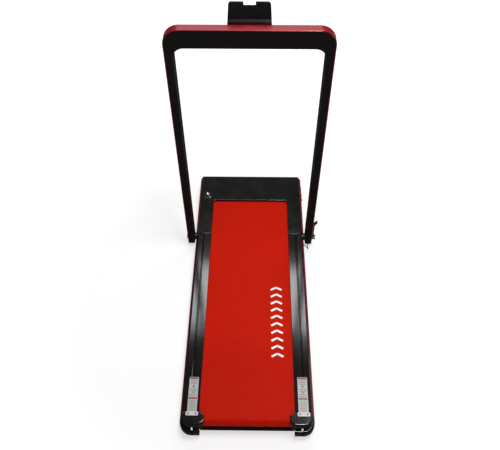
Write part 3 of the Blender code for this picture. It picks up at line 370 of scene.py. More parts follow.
FINISHES = {
    "belt": belt_pvc,
    "cover": cover_abs,
    "rail": rail_abs,
    "grained": textured_abs,
    "fascia": fascia_abs,
    "enamel": red_enamel,
    "chrome": chrome_plate,
    "steel": turned_steel,
    "zinc": zinc_plate,
    "aluminium": mill_aluminium,
    "powder": powder_coat,
    "rubber": moulded_rubber,
    "cable": cable_pvc,
    "fibreboard": deck_fibreboard,
    "board": board_laminate,
    "label": lambda: label_vinyl("White label vinyl", colours().label),
    "tab": lambda: label_vinyl("Bright tab vinyl", linear("#c6c4c1")),
    "label_red": lambda: label_vinyl("Red label ink", colours().print_red),
    "label_grey": lambda: label_vinyl("Grey label ink", colours().print_grey),
    "chevron": lambda: label_vinyl("White belt ink", colours().chevron, 0.55),
    "paper": studio_floor,
}
MADE_FINISHES = {}


def finish(name):
    """The material of that name, made once."""
    if name not in MADE_FINISHES:
        MADE_FINISHES[name] = FINISHES[name]()
    return MADE_FINISHES[name]


# --- shape tools ----------------------------------------------------------------------------


def rounded_outline(corners, steps=8):
    """A closed outline from (x, y, radius) corners, with each rounded corner as an arc."""
    points = []
    for index, (x, y, radius) in enumerate(corners):
        here = Vector((x, y))
        if radius == 0:
            points.append(here)
            continue
        back = (Vector(corners[index - 1][:2]) - here).normalized()
        ahead = (Vector(corners[(index + 1) % len(corners)][:2]) - here).normalized()
        half_angle = back.angle(ahead) / 2
        centre = here + (back + ahead).normalized() * radius / math.sin(half_angle)
        start = here + back * radius / math.tan(half_angle) - centre
        end = here + ahead * radius / math.tan(half_angle) - centre
        sweep = start.angle_signed(end)
        for step in range(steps + 1):
            points.append(centre + Matrix.Rotation(-sweep * step / steps, 2) @ start)
    return points


def inset_outline(outline, distance):
    """The anticlockwise outline moved inwards by the distance, with mitred corners."""
    moved = []
    for index, here in enumerate(outline):
        back = (here - outline[index - 1]).normalized()
        ahead = (outline[(index + 1) % len(outline)] - here).normalized()
        normals = Vector((-back.y, back.x)), Vector((-ahead.y, ahead.x))
        mitre = (normals[0] + normals[1]).normalized()
        moved.append(here + mitre * distance / mitre.dot(normals[0]))
    return moved


def rectangle(x, y):
    return [Vector((x[0], y[0])), Vector((x[1], y[0])), Vector((x[1], y[1])), Vector((x[0], y[1]))]


def soft_box_outline(x, y, radius, steps=4):
    corners = [(x[0], y[0], radius), (x[1], y[0], radius), (x[1], y[1], radius), (x[0], y[1], radius)]
    return rounded_outline(corners, steps)


def mirrored(outline):
    """The outline on the left-hand side, still anticlockwise."""
    return [Vector((-p.x, p.y)) for p in reversed(outline)]


def lift(point, axis, height):
    """The 3D point of an outline point, on the plane across the axis at that height."""
    coordinates = list(point)
    coordinates.insert(AXES[axis], height)
    return coordinates


def ring_mesh(rings, closed=False):
    """Walls between rings of points, with the ends filled unless the rings close on each other."""
    bm = bmesh.new()
    rows = [[bm.verts.new(point) for point in ring] for ring in rings]
    count = len(rows[0])
    spans = list(zip(rows, rows[1:]))
    if closed:
        spans.append((rows[-1], rows[0]))
    for low, high in spans:
        for i in range(count):
            j = (i + 1) % count
            bm.faces.new((low[i], low[j], high[j], high[i]))
    if not closed:
        bm.faces.new(rows[0])
        bm.faces.new(rows[-1])
    return bm


def prism_mesh(outline, axis, low, high):
    return ring_mesh([[lift(p, axis, height) for p in outline] for height in (low, high)])


def rounded_layers(outline, low, high, radius, steps=6):
    """Rings of an outline that rises straight from low and rounds inwards to high."""
    layers = [(0.0, low), (0.0, high - radius)]
    for step in range(1, steps + 1):
        angle = math.pi / 2 * step / steps
        layers.append((radius * (1 - math.cos(angle)), high - radius + radius * math.sin(angle)))
    return [[lift(p, "Z", z) for p in inset_outline(outline, inset)] for inset, z in layers]


def turned_mesh(profile, centre, axis, sides=64):
    """A turned mesh from (radius, height) points. It is solid from radius 0 to radius 0, and a ring otherwise."""
    solid = profile[0][0] == 0
    bm = bmesh.new()
    step = 2 * math.pi / sides
    rows = []
    for radius, height in profile:
        if radius == 0:
            rows.append([bm.verts.new((0, 0, height))] * sides)
            continue
        rows.append(
            [bm.verts.new((radius * math.cos(i * step), radius * math.sin(i * step), height)) for i in range(sides)]
        )
    spans = list(zip(rows, rows[1:])) if solid else list(zip(rows, rows[1:] + rows[:1]))
    for low, high in spans:
        for i in range(sides):
            j = (i + 1) % sides
            bm.faces.new(list(dict.fromkeys((low[i], low[j], high[j], high[i]))))
    turn = {"X": Matrix.Rotation(math.pi / 2, 4, "Y"), "Y": Matrix.Rotation(-math.pi / 2, 4, "X")}
    bm.transform(Matrix.Translation(centre) @ turn.get(axis, Matrix.Identity(4)))
    return bm


def rounded_profile(corners, radius=0.0004, steps=3):
    """A turned profile from (radius, height) corners, with the corners off the axis rounded a little."""
    points = []
    for index, here in enumerate(corners):
        here = Vector(here)
        if index in (0, len(corners) - 1) or here.x == 0:
            points.append(here)
            continue
        back, ahead = Vector(corners[index - 1]) - here, Vector(corners[index + 1]) - here
        reach = min(radius, back.length * 0.45, ahead.length * 0.45)
        start, end = here + back.normalized() * reach, here + ahead.normalized() * reach
        for step in range(steps + 1):
            t = step / steps
            points.append(start * (1 - t) ** 2 + here * 2 * t * (1 - t) + end * t**2)
    return [tuple(p) for p in points]


def baked(made):
    """The object with its modifiers turned into a plain mesh."""
    evaluated = made.evaluated_get(bpy.context.evaluated_depsgraph_get())
    mesh = bpy.data.meshes.new_from_object(evaluated)
    made.modifiers.clear()
    made.data = mesh
    return made


def even_shading(made):
    """Lets the large flat faces keep their own shade beside narrow rounded edges."""
    modifier = made.modifiers.new("even shading", "WEIGHTED_NORMAL")
    modifier.weight = 100
    modifier.keep_sharp = True
    baked(made)


def smooth_shading(mesh, angle=32):
    """Shades a mesh smooth but for edges sharper than the angle in degrees."""
    mesh.shade_smooth()
    mesh.set_sharp_from_angle(angle=math.radians(angle))


def to_object(name, bm, material, smooth_angle=32):
    """A linked object from a mesh, faces outwards, smooth but for its sharp edges."""
    bmesh.ops.recalc_face_normals(bm, faces=bm.faces)
    mesh = bpy.data.meshes.new(name)
    bm.to_mesh(mesh)
    bm.free()
    smooth_shading(mesh, smooth_angle)
    mesh.materials.append(material)
    made = bpy.data.objects.new(name, mesh)
    bpy.context.scene.collection.objects.link(made)
    return made


def carve(made, cutters, operation="DIFFERENCE"):
    """Cuts the cutter meshes out of the object, or joins them to it."""
    helpers = []
    for index, bm in enumerate(cutters):
        helper = to_object(f"{made.name}_cutter_{index}", bm, made.data.materials[0])
        modifier = made.modifiers.new(helper.name, "BOOLEAN")
        modifier.operation = operation
        modifier.solver = "EXACT"
        modifier.object = helper
        helpers.append(helper)
    smooth_shading(baked(made).data)
    for helper in helpers:
        bpy.data.objects.remove(helper, do_unlink=True)
    return made


def place(made, body, slot=None, replaced=()):
    """Rides the piece on its body, with the CAD nodes that it stands for hidden. The slot argument is not used."""
    even_shading(made)
    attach(made, body)
    if replaced:
        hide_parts(*replaced)
    return made


def body_of_node(name):
    return next(b for b, members in frame["record"]["behaviour"]["bodies"].items() if name in members)


def finished_copy(name, finish_name, slot, edge=0.0004, segments=2):
    """A CAD node as one clean mesh with softened edges and its finish."""
    bm = bmesh.new()
    bm.from_mesh(frame["nodes"][name].data)
    bmesh.ops.remove_doubles(bm, verts=bm.verts, dist=1e-6)
    bmesh.ops.dissolve_limit(bm, angle_limit=math.radians(0.5), verts=bm.verts, edges=bm.edges)
    sharp = [e for e in bm.edges if len(e.link_faces) == 2 and e.calc_face_angle(0) > math.radians(38)]
    bmesh.ops.bevel(bm, geom=sharp, offset=edge, segments=segments, affect="EDGES", clamp_overlap=True)
    made = to_object(f"{name}_finished", bm, finish(finish_name))
    return place(made, body_of_node(name), slot, [name])


def turned_piece(name, corners, centre, axis, finish_name, body, slot, stands_for, soft=0.0004, **detail):
    """A turned piece with slightly rounded corners, in place of a CAD node. Detail is steps, sides and smooth_angle."""
    profile = rounded_profile(corners, soft, detail.get("steps", 3))
    mesh = turned_mesh(profile, centre, axis, detail.get("sides", 64))
    made = to_object(name, mesh, finish(finish_name), detail.get("smooth_angle", 32))
    return place(made, body, slot, [stands_for])


def upright_axis(name):
    """The point on the floor below the middle of a CAD node."""
    low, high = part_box(name)
    return Vector(((low.x + high.x) / 2, (low.y + high.y) / 2, 0))


def cylinder_mesh(centre, axis, radius, half_length, sides=48):
    profile = [(0, -half_length), (radius, -half_length), (radius, half_length), (0, half_length)]
    return turned_mesh(profile, centre, axis, sides)


def box_mesh(low, high):
    (x0, y0, z0), (x1, y1, z1) = low, high
    return prism_mesh(rectangle((x0, x1), (y0, y1)), "Z", z0, z1)


# --- geometry-node tools --------------------------------------------------------------------


def new_tree(name, inputs):
    """A geometry tree with named inputs: {name: (socket type, default)}. Returns it with its group input."""
    tree = bpy.data.node_groups.new(name, "GeometryNodeTree")
    tree.interface.new_socket("Geometry", in_out="INPUT", socket_type="NodeSocketGeometry")
    for label, (kind, default) in inputs.items():
        tree.interface.new_socket(label, in_out="INPUT", socket_type=kind).default_value = default
    tree.interface.new_socket("Geometry", in_out="OUTPUT", socket_type="NodeSocketGeometry")
    return tree, node(tree, "NodeGroupInput")


def end_tree(tree, source, output, material):
    """Closes a tree with Realize Instances and Set Material."""
    real = node(tree, "GeometryNodeRealizeInstances", links={"Geometry": (source, output)})
    painted = node(tree, "GeometryNodeSetMaterial", {"Material": material}, {"Geometry": (real, "Geometry")})
    node(tree, "NodeGroupOutput", links={"Geometry": (painted, "Geometry")})


def run_tree(name, bm, tree, values, material):
    """An object made by a tree from a start mesh, as a plain mesh."""
    made = to_object(name, bm, material)
    modifier = made.modifiers.new(tree.name, "NODES")
    modifier.node_group = tree
    for item in tree.interface.items_tree:
        if item.in_out == "INPUT" and item.name in values:
            modifier[item.identifier] = values[item.name]
    smooth_shading(baked(made).data)
    return made


def points_mesh(points):
    bm = bmesh.new()
    for point in points:
        bm.verts.new(point)
    return bm


def screw_tree(material):
    """Button-head screws with a cross recess, one on each start point, heads up."""
    tree, given = new_tree(
        "cover_screws", {"Head Radius": ("NodeSocketFloat", 0.0042), "Head Height": ("NodeSocketFloat", 0.0018)}
    )
    head = node(
        tree,
        "GeometryNodeMeshCylinder",
        {"Vertices": 32},
        {"Radius": (given, "Head Radius"), "Depth": (given, "Head Height")},
    )
    width = node(tree, "ShaderNodeMath", {1: 1.1}, {0: (given, "Head Radius")}, operation="MULTIPLY")
    slit = node(tree, "ShaderNodeMath", {1: 0.22}, {0: (given, "Head Radius")}, operation="MULTIPLY")
    cross = []
    for first, second in ((width, slit), (slit, width)):
        size = node(
            tree,
            "ShaderNodeCombineXYZ",
            links={"X": (first, "Value"), "Y": (second, "Value"), "Z": (given, "Head Height")},
        )
        bar = node(tree, "GeometryNodeMeshCube", links={"Size": (size, "Vector")})
        raise_by = node(tree, "ShaderNodeCombineXYZ", links={"Z": (given, "Head Height")})
        moved = node(
            tree, "GeometryNodeTransform", links={"Geometry": (bar, "Mesh"), "Translation": (raise_by, "Vector")}
        )
        cross.append(moved)
    recessed = node(tree, "GeometryNodeMeshBoolean", links={"Mesh 1": (head, "Mesh")}, operation="DIFFERENCE")
    for bar in cross:
        tree.links.new(bar.outputs["Geometry"], recessed.inputs["Mesh 2"])
    placed = node(
        tree, "GeometryNodeInstanceOnPoints", links={"Points": (given, "Geometry"), "Instance": (recessed, "Mesh")}
    )
    end_tree(tree, placed, "Instances", material)
    return tree


def chevron_tree(material):
    """A row of printed chevrons along +Y from each start point: two slanted strokes for each mark."""
    tree, given = new_tree(
        "printed_chevrons",
        {
            "Count": ("NodeSocketInt", 10),
            "Pitch": ("NodeSocketFloat", 0.0345),
            "Width": ("NodeSocketFloat", 0.046),
            "Stroke": ("NodeSocketFloat", 0.0085),
            "Slant": ("NodeSocketFloat", 0.5),
            "Ink": ("NodeSocketFloat", 0.00012),
        },
    )
    row = node(tree, "GeometryNodeMeshLine", links={"Count": (given, "Count")}, mode="OFFSET")
    offset = node(tree, "ShaderNodeCombineXYZ", links={"Y": (given, "Pitch")})
    tree.links.new(offset.outputs["Vector"], row.inputs["Offset"])
    run = node(tree, "ShaderNodeMath", {1: 0.5}, {0: (given, "Width")}, operation="MULTIPLY")
    slope = node(tree, "ShaderNodeMath", links={0: (given, "Slant")}, operation="COSINE")
    reach = node(tree, "ShaderNodeMath", links={0: (run, "Value"), 1: (slope, "Value")}, operation="DIVIDE")
    size = node(
        tree, "ShaderNodeCombineXYZ", links={"X": (reach, "Value"), "Y": (given, "Stroke"), "Z": (given, "Ink")}
    )
    stroke = node(tree, "GeometryNodeMeshCube", links={"Size": (size, "Vector")})
    aside = node(tree, "ShaderNodeMath", {1: 0.25}, {0: (given, "Width")}, operation="MULTIPLY")
    strokes = node(tree, "GeometryNodeJoinGeometry")
    for sign in (-1, 1):
        shift = node(tree, "ShaderNodeMath", {1: sign}, {0: (aside, "Value")}, operation="MULTIPLY")
        turn = node(tree, "ShaderNodeMath", {1: -sign}, {0: (given, "Slant")}, operation="MULTIPLY")
        centre = node(tree, "ShaderNodeCombineXYZ", links={"X": (shift, "Value")})
        spin = node(tree, "ShaderNodeCombineXYZ", links={"Z": (turn, "Value")})
        slanted = node(
            tree,
            "GeometryNodeTransform",
            links={"Geometry": (stroke, "Mesh"), "Translation": (centre, "Vector"), "Rotation": (spin, "Vector")},
        )
        tree.links.new(slanted.outputs["Geometry"], strokes.inputs["Geometry"])
    marks = node(
        tree, "GeometryNodeInstanceOnPoints", links={"Points": (row, "Mesh"), "Instance": (strokes, "Geometry")}
    )
    rows = node(
        tree, "GeometryNodeInstanceOnPoints", links={"Points": (given, "Geometry"), "Instance": (marks, "Instances")}
    )
    end_tree(tree, rows, "Instances", material)
    return tree


# --- running belt ---------------------------------------------------------------------------


def loop_outline(rear, front, radius, steps=48):
    """The anticlockwise outline of a belt round two equal rollers, in (y, z)."""
    points = []
    for centre, start in ((front, -math.pi / 2), (rear, math.pi / 2)):
        for step in range(steps + 1):
            angle = start + math.pi * step / steps
            points.append(Vector((centre.y + radius * math.cos(angle), centre.z + radius * math.sin(angle))))
    return points


class TREADMILL_OT_running_belt(Operator):
    """Builds the running belt, an endless loop with slightly rounded edges"""

    bl_idname = "treadmill.running_belt"
    bl_label = "Running Belt"

    def execute(self, context):
        low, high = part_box("running_belt")
        outer = (high.z - low.z) / 2
        thickness, edge = 0.0018, 0.0004
        # The section runs round the belt's thickness: (position across, height above the inner face).
        half = high.x
        section = soft_box_outline((-half, half), (0.0, thickness), edge, 3)
        rings = []
        for across, height in section:
            loop = loop_outline(REAR_ROLLER, FRONT_ROLLER, outer - thickness + height)
            rings.append([(across, p.x, p.y) for p in loop])
        belt = to_object("running_belt_loop", ring_mesh(rings, closed=True), finish("belt"))
        place(belt, "base", "red_belt", ["running_belt"])
        return {"FINISHED"}


CHEVRON_START = (0.1155, -0.3445)  # the chevron nearest the rear


class TREADMILL_OT_belt_chevrons(Operator):
    """Prints a row of plain chevrons on the right of the belt"""

    bl_idname = "treadmill.belt_chevrons"
    bl_label = "Belt Chevrons"

    def execute(self, context):
        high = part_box("running_belt")[1]
        size = sizes()
        ink = 0.12 * MM
        start = Vector((*CHEVRON_START, high.z + ink / 2))
        values = {"Count": size.chevrons, "Pitch": size.chevron_pitch, "Width": size.chevron_width, "Ink": ink}
        tree = chevron_tree(finish("chevron"))
        marks = run_tree("belt_chevrons", points_mesh([start]), tree, values, finish("chevron"))
        place(marks, "base")
        return {"FINISHED"}


# --- covers ---------------------------------------------------------------------------------


# The sizes here that no box gives are the CAD model's own.
CLEARANCE = 0.0985  # height of the covers' undersides above the floor, over the belt
BELT_SIDE = 0.180  # half the width of the opening that is cut under the motor cover for the belt
PIVOT_HOLE = 0.0165
ADJUSTER_SLOT = 0.003  # half the width of the rear slots
REAR_CORNER = 0.032
MAINS_INLET, MAINS_SWITCH = (0.5915, 0.0125), (0.5415, 0.0220)  # middle along the rim, and half the length
RIM_END_X = 0.176
RIM_WALL = 0.0025
RIM_TOP = 0.0605
RIM_FRONT_TOP, RIM_FRONT_PROUD = 0.0930, 0.0090
RIM_RAMP_Y = (0.262, 0.296)
FRONT_CORNER = 0.006


def cover_outline():
    """The motor cover from above: a U with its arms on either side of the belt."""
    low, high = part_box("motor_cover")
    inner, edge = 0.1755, 0.467
    return rounded_outline(
        [
            (low.x, low.y, 0), (-inner, low.y, 0), (-inner, edge, 0.012), (inner, edge, 0.012), (inner, low.y, 0),
            (high.x, low.y, 0), (high.x, high.y, FRONT_CORNER), (low.x, high.y, FRONT_CORNER),
        ],
        12,
    )


class TREADMILL_OT_motor_cover(Operator):
    """Builds the motor cover with its hollow underside"""

    bl_idname = "treadmill.motor_cover"
    bl_label = "Motor Cover"

    def execute(self, context):
        low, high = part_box("motor_cover")
        wall = sizes().wall
        outline = cover_outline()
        rings = rounded_layers(outline, low.z, high.z, sizes().cover_round)
        cover = to_object("motor_cover_shell", ring_mesh(rings), finish("cover"))
        key_centre = upright_axis("key_socket")
        below = low.z - 0.02
        # In order: the hollow underside, the belt's opening, the seats for the rails, the socket and the hoop's pivot.
        cutters = [
            prism_mesh(inset_outline(outline, wall), "Z", low.z - 0.01, high.z - wall),
            box_mesh((-BELT_SIDE, low.y - 0.01, below), (BELT_SIDE, 0.4725, CLEARANCE)),
            box_mesh((-0.2355, low.y - 0.01, below), (0.2355, low.y + 0.0055, CLEARANCE)),
            cylinder_mesh((key_centre.x, key_centre.y, high.z), "Z", 0.0163, 0.006, 64),
            cylinder_mesh(HOOP_PIVOT, "X", PIVOT_HOLE, 0.3, 64),
        ]
        place(carve(cover, cutters), "base", "black_gloss_plastic", ["motor_cover"])
        return {"FINISHED"}


def rail_outline():
    """The right foot rail's section, an inverted channel with a groove along its top."""
    low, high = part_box("right_foot_rail")
    outer, inner, top = high.x, low.x, high.z
    under, wall, groove, half = top - 0.0038, sizes().wall, 0.2095, 0.004
    return rounded_outline(
        [
            (outer, low.z, 0.0004), (outer, top, 0.006), (groove + half, top, 0.0006),
            (groove + 0.0008, top - 0.0026, 0.0006), (groove - 0.0008, top - 0.0026, 0.0006),
            (groove - half, top, 0.0006), (inner, top, 0.0015), (inner, CLEARANCE, 0.0004),
            (inner + wall, CLEARANCE, 0), (inner + wall, under, 0), (outer - wall, under, 0.003),
            (outer - wall, low.z, 0),
        ],
        6,
    )


class TREADMILL_OT_foot_rails(Operator):
    """Builds the two foot rails"""

    bl_idname = "treadmill.foot_rails"
    bl_label = "Foot Rails"

    def execute(self, context):
        for name, side in SIDES:
            low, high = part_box(f"{name}_foot_rail")
            outline = [Vector((side * p.x, p.y)) for p in rail_outline()]
            rail = to_object(f"{name}_foot_rail_section", prism_mesh(outline, "Y", low.y, high.y), finish("rail"))
            place(rail, "base", "black_satin_plastic", [f"{name}_foot_rail"])
        return {"FINISHED"}


class TREADMILL_OT_end_caps(Operator):
    """Builds the rear corner caps with their adjuster slots"""

    bl_idname = "treadmill.end_caps"
    bl_label = "End Caps"

    def execute(self, context):
        low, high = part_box("right_end_cap")
        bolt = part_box("right_adjusting_bolt")
        slot_x = (bolt[0].x + bolt[1].x) / 2
        proud = sizes().rim_proud
        rear, side_x = low.y + proud, high.x - proud
        corners = [
            (0.1725, high.y, 0), (low.x, high.y - 0.014, 0), (low.x, rear + 0.012, 0), (RIM_END_X, rear, 0),
            (side_x, rear, REAR_CORNER), (side_x, high.y, 0),
        ]
        right = rounded_outline(corners, 16)
        skirt_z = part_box("motor_cover")[0].z
        wall = sizes().wall
        for name, side in SIDES:
            outline = right if side > 0 else mirrored(right)
            rings = rounded_layers(outline, skirt_z, high.z, sizes().cap_round, 8)
            cap = to_object(f"{name}_end_cap_shell", ring_mesh(rings), finish("cover"))

            def reach(near, far, y, z):
                across = sorted((side * near, side * far))
                return box_mesh((across[0], y[0], z[0]), (across[1], y[1], z[1]))

            # In order: the hollow underside, room for the belt's edge, and the seat for the rail.
            cutters = [
                prism_mesh(inset_outline(outline, wall), "Z", 0.04, high.z - wall - 0.0005),
                reach(low.x - 0.01, 0.190, (rear + 0.008, high.y + 0.01), (0.04, CLEARANCE)),
                reach(0.186, 0.233, (high.y - 0.006, high.y + 0.01), (0.04, CLEARANCE)),
            ]
            carve(cap, cutters)
            section = rounded_outline(
                [
                    (-0.001, RIM_TOP, 0), (-0.001, RIM_TOP - RIM_WALL, 0),
                    (proud - RIM_WALL, RIM_TOP - RIM_WALL, 0.0050), (proud - RIM_WALL, low.z, 0),
                    (proud, low.z, 0), (proud, RIM_TOP, 0.0075),
                ],
                8,
            )
            path = [(point, outward) for point, outward in rim_path(side) if point.y < high.y + 0.0003]
            apron = ring_mesh([[(*(point + outward * p.x), p.y) for p in section] for point, outward in path])
            carve(cap, [apron], "UNION")
            near, far = slot_x - ADJUSTER_SLOT, slot_x + ADJUSTER_SLOT
            slot = reach(near, far, (low.y - 0.01, rear + 0.0045), (0.030, 0.090))
            place(carve(cap, [slot]), "base", "black_satin_plastic", [f"{name}_end_cap"])
        return {"FINISHED"}


# --- red rim --------------------------------------------------------------------------------


def rim_path(side):
    """(point, outward direction) along one side of the base, from the front centre to the rear corner."""
    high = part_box("motor_cover")[1]
    x, y, rear, front = high.x, high.y, REAR_CORNER, FRONT_CORNER
    ramp = [RIM_RAMP_Y[1] - (RIM_RAMP_Y[1] - RIM_RAMP_Y[0]) * step / 12 for step in range(13)]
    cap_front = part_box("right_end_cap")[1].y
    stations = [(Vector((0.0005, y)), Vector((0, 1)))]
    for centre_x, centre_y, radius, start, steps in (
        (x - front, y - front, front, 90, 12),
        (x - rear, rear - y, rear, 0, 24),
    ):
        if start == 0:
            stations.extend((Vector((x, side_y)), Vector((1, 0))) for side_y in (*ramp, cap_front))
        for step in range(steps + 1):
            angle = math.radians(start - 90 * step / steps)
            outward = Vector((math.cos(angle), math.sin(angle)))
            stations.append((Vector((centre_x, centre_y)) + radius * outward, outward))
    stations.append((Vector((RIM_END_X, -y)), Vector((0, -1))))
    return [(Vector((side * p.x, p.y)), Vector((side * n.x, n.y))) for p, n in stations]


def rim_section(share):
    """The rim's section, (distance outwards, height): low beside the rails at 0, tall beside the cover at 1."""
    eased = share * share * (3 - 2 * share)
    top = RIM_TOP + (RIM_FRONT_TOP - RIM_TOP) * eased
    proud = sizes().rim_proud + (RIM_FRONT_PROUD - sizes().rim_proud) * eased
    wall, bottom = RIM_WALL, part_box("right_side_skirt")[0].z
    return rounded_outline(
        [
            (0.0006, top, 0.0006), (0.0006, top - wall, 0), (proud - wall, top - wall, 0.0050),
            (proud - wall, bottom + wall, 0.0045), (-0.010, bottom + wall, 0), (-0.010, bottom, 0.0005),
            (proud, bottom, 0.007), (proud, top, 0.0075),
        ],
        8,
    )


class TREADMILL_OT_side_rims(Operator):
    """Builds the red rims that wrap the base"""

    bl_idname = "treadmill.side_rims"
    bl_label = "Side Rims"

    def execute(self, context):
        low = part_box("right_side_skirt")[0]
        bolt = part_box("right_adjusting_bolt")
        slot_x = (bolt[0].x + bolt[1].x) / 2
        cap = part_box("right_end_cap")
        for name, side in SIDES:
            rings = []
            for point, outward in rim_path(side):
                share = min(max((point.y - RIM_RAMP_Y[0]) / (RIM_RAMP_Y[1] - RIM_RAMP_Y[0]), 0), 1)
                rings.append([(*(point + outward * p.x), p.y) for p in rim_section(share)])
            rim = to_object(f"{name}_rim", ring_mesh(rings), finish("enamel"))
            across = sorted((side * (slot_x - ADJUSTER_SLOT), side * (slot_x + ADJUSTER_SLOT)))
            # In order: the hoop's pivot, the adjuster slot, and the part that the black end cap takes up.
            cutters = [
                cylinder_mesh((side * 0.24, HOOP_PIVOT.y, HOOP_PIVOT.z), "X", PIVOT_HOLE, 0.03, 64),
                box_mesh((across[0], low.y - 0.005, 0.032), (across[1], low.y + 0.0135, 0.07)),
                box_mesh((-0.3, -0.7, cap[0].z - 0.0003), (0.3, cap[1].y + 0.0003, RIM_TOP + 0.01)),
            ]
            if side > 0:
                for centre_y, half in (MAINS_INLET, MAINS_SWITCH):
                    cutters.append(box_mesh((0.235, centre_y - half, 0.0325), (0.26, centre_y + half, 0.0535)))
            place(carve(rim, cutters), "base", "red_paint", [f"{name}_side_skirt"])
        return {"FINISHED"}


# --- labels ---------------------------------------------------------------------------------

LABEL_CORNERS = {"left": ((-0.2200, -0.1848), (-0.5770, -0.4435)), "right": ((0.1880, 0.2250), (-0.5765, -0.4405))}
TAB_SPANS = {"left": ((-0.2245, -0.1790), (-0.5925, -0.5775)), "right": ((0.1842, 0.2297), (-0.5920, -0.5770))}
VINYL, INK = 0.15 * MM, 0.04 * MM
LABEL_ROWS = 19
FREE_ROWS = (6, 7, 10, 13, 14, 18)  # where the bars and signs are


def film(name, x, y, z, thickness, radius, finish_name):
    """A flat film with rounded corners, riding on the base."""
    mesh = prism_mesh(soft_box_outline(x, y, radius, 5), "Z", z, z + thickness)
    return place(to_object(name, mesh, finish(finish_name)), "base")


def ink_tree(material):
    """Rows of short printed bars on a label, one on each start point, all of one size."""
    tree, given = new_tree(
        "label_print", {"Bar Length": ("NodeSocketFloat", 0.02), "Bar Width": ("NodeSocketFloat", 0.0012)}
    )
    sides = {"X": (given, "Bar Length"), "Y": (given, "Bar Width")}
    size = node(tree, "ShaderNodeCombineXYZ", {"Z": 0.05 * MM}, sides)
    bar = node(tree, "GeometryNodeMeshCube", links={"Size": (size, "Vector")})
    rows = node(
        tree, "GeometryNodeInstanceOnPoints", links={"Points": (given, "Geometry"), "Instance": (bar, "Mesh")}
    )
    end_tree(tree, rows, "Instances", material)
    return tree


class TREADMILL_OT_labels(Operator):
    """Sticks a plain label with bars and no lettering on each foot rail"""

    bl_idname = "treadmill.labels"
    bl_label = "Labels"

    def execute(self, context):
        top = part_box("right_foot_rail")[1].z + 0.05 * MM
        tree = ink_tree(finish("label_grey"))

        def spot(name, radius, x, y, z, finish_name, sides=24):
            mesh = turned_mesh([(0, 0), (radius, 0), (radius, INK), (0, INK)], (x, y, z), "Z", sides)
            place(to_object(name, mesh, finish(finish_name)), "base")

        for name, _ in SIDES:
            (x0, x1), (y0, y1) = LABEL_CORNERS[name]
            centre, width, ink = (x0 + x1) / 2, x1 - x0, top + VINYL
            film(f"{name}_label", (x0, x1), (y0, y1), top, VINYL, 0.0015, "label")
            for index, share in enumerate((0.965, 0.375)):
                y = y0 + (y1 - y0) * share
                across, along = (x0 + 0.0022, x1 - 0.0022), (y - 0.0034, y + 0.0034)
                film(f"{name}_label_bar_{index}", across, along, ink, INK, 0.0003, "label_red")
            rows = []
            for index in range(LABEL_ROWS):
                share = 0.045 + 0.90 * index / (LABEL_ROWS - 1)
                if index not in FREE_ROWS:
                    rows.append((centre, y0 + (y1 - y0) * share, ink))
            for index, share in enumerate((0.55, 0.725)):
                sides = 3 + index
                spot(f"{name}_label_sign_{index}", 0.0052, centre, y0 + (y1 - y0) * share, ink, "label_grey", sides)
            values = {"Bar Length": width * 0.74, "Bar Width": 0.0021}
            place(run_tree(f"{name}_label_lines", points_mesh(rows), tree, values, finish("label_grey")), "base")
            (x0, x1), (y0, y1) = TAB_SPANS[name]
            film(f"{name}_label_tab", (x0, x1), (y0, y1), top + VINYL, VINYL, 0.003, "tab")
            for index, (share, finish_name) in enumerate(((0.2, "label_grey"), (0.8, "label_red"))):
                x = x0 + (x1 - x0) * share
                spot(f"{name}_label_spot_{index}", 0.0036, x, (y0 + y1) / 2, top + 2 * VINYL, finish_name)
        return {"FINISHED"}


# --- hoop -----------------------------------------------------------------------------------


def reach_of_corner(corner_centre, direction, outer_x, top, radius):
    """How far the hoop's outer outline is from the inner corner's centre, in that direction."""
    width, height = outer_x - corner_centre.x, top - corner_centre.y
    distances = [width / direction.x if direction.x > 1e-6 else math.inf]
    distances.append(height / direction.y if direction.y > 1e-6 else math.inf)
    hit = direction * min(distances)
    arc_centre = Vector((width - radius, height - radius))
    if hit.x <= arc_centre.x or hit.y <= arc_centre.y:
        return min(distances)
    along = direction.dot(arc_centre)
    return along + math.sqrt(along**2 - arc_centre.length_squared + radius**2)


HOOP_INNER_X, HOOP_UNDERSIDE = 0.2545, 1.0660
HOOP_OUTER_RADIUS, HOOP_INNER_RADIUS = 0.056, 0.036
HOOP_DRAFT = 0.0037  # how far the front of the hoop's inner face stands back from its rear edge


def hoop_stations():
    """(inner point, direction outwards, thickness) from the left foot of the hoop round to the right one."""
    low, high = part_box("hoop_frame")
    radius = HOOP_INNER_RADIUS
    centre = Vector((HOOP_INNER_X - radius, HOOP_UNDERSIDE - radius))
    right = [(Vector((HOOP_INNER_X, low.z)), Vector((1, 0)), high.x - HOOP_INNER_X)]
    steps = 32
    for step in range(steps + 1):
        angle = math.pi / 2 * step / steps
        outward = Vector((math.cos(angle), math.sin(angle)))
        reach = reach_of_corner(centre, outward, high.x, high.z, HOOP_OUTER_RADIUS)
        right.append((centre + radius * outward, outward, reach - radius))
    left = [(Vector((-p.x, p.y)), Vector((-n.x, n.y)), t) for p, n, t in right]
    return left + right[::-1]


def hoop_ring(station, section):
    """The section's points, each (distance from the inner face, depth), at one station of the hoop."""
    point, outward, _ = station
    ring = []
    for distance, depth in section:
        across = point + outward * distance
        ring.append((across.x, HOOP_PIVOT.y + depth, across.y))
    return ring


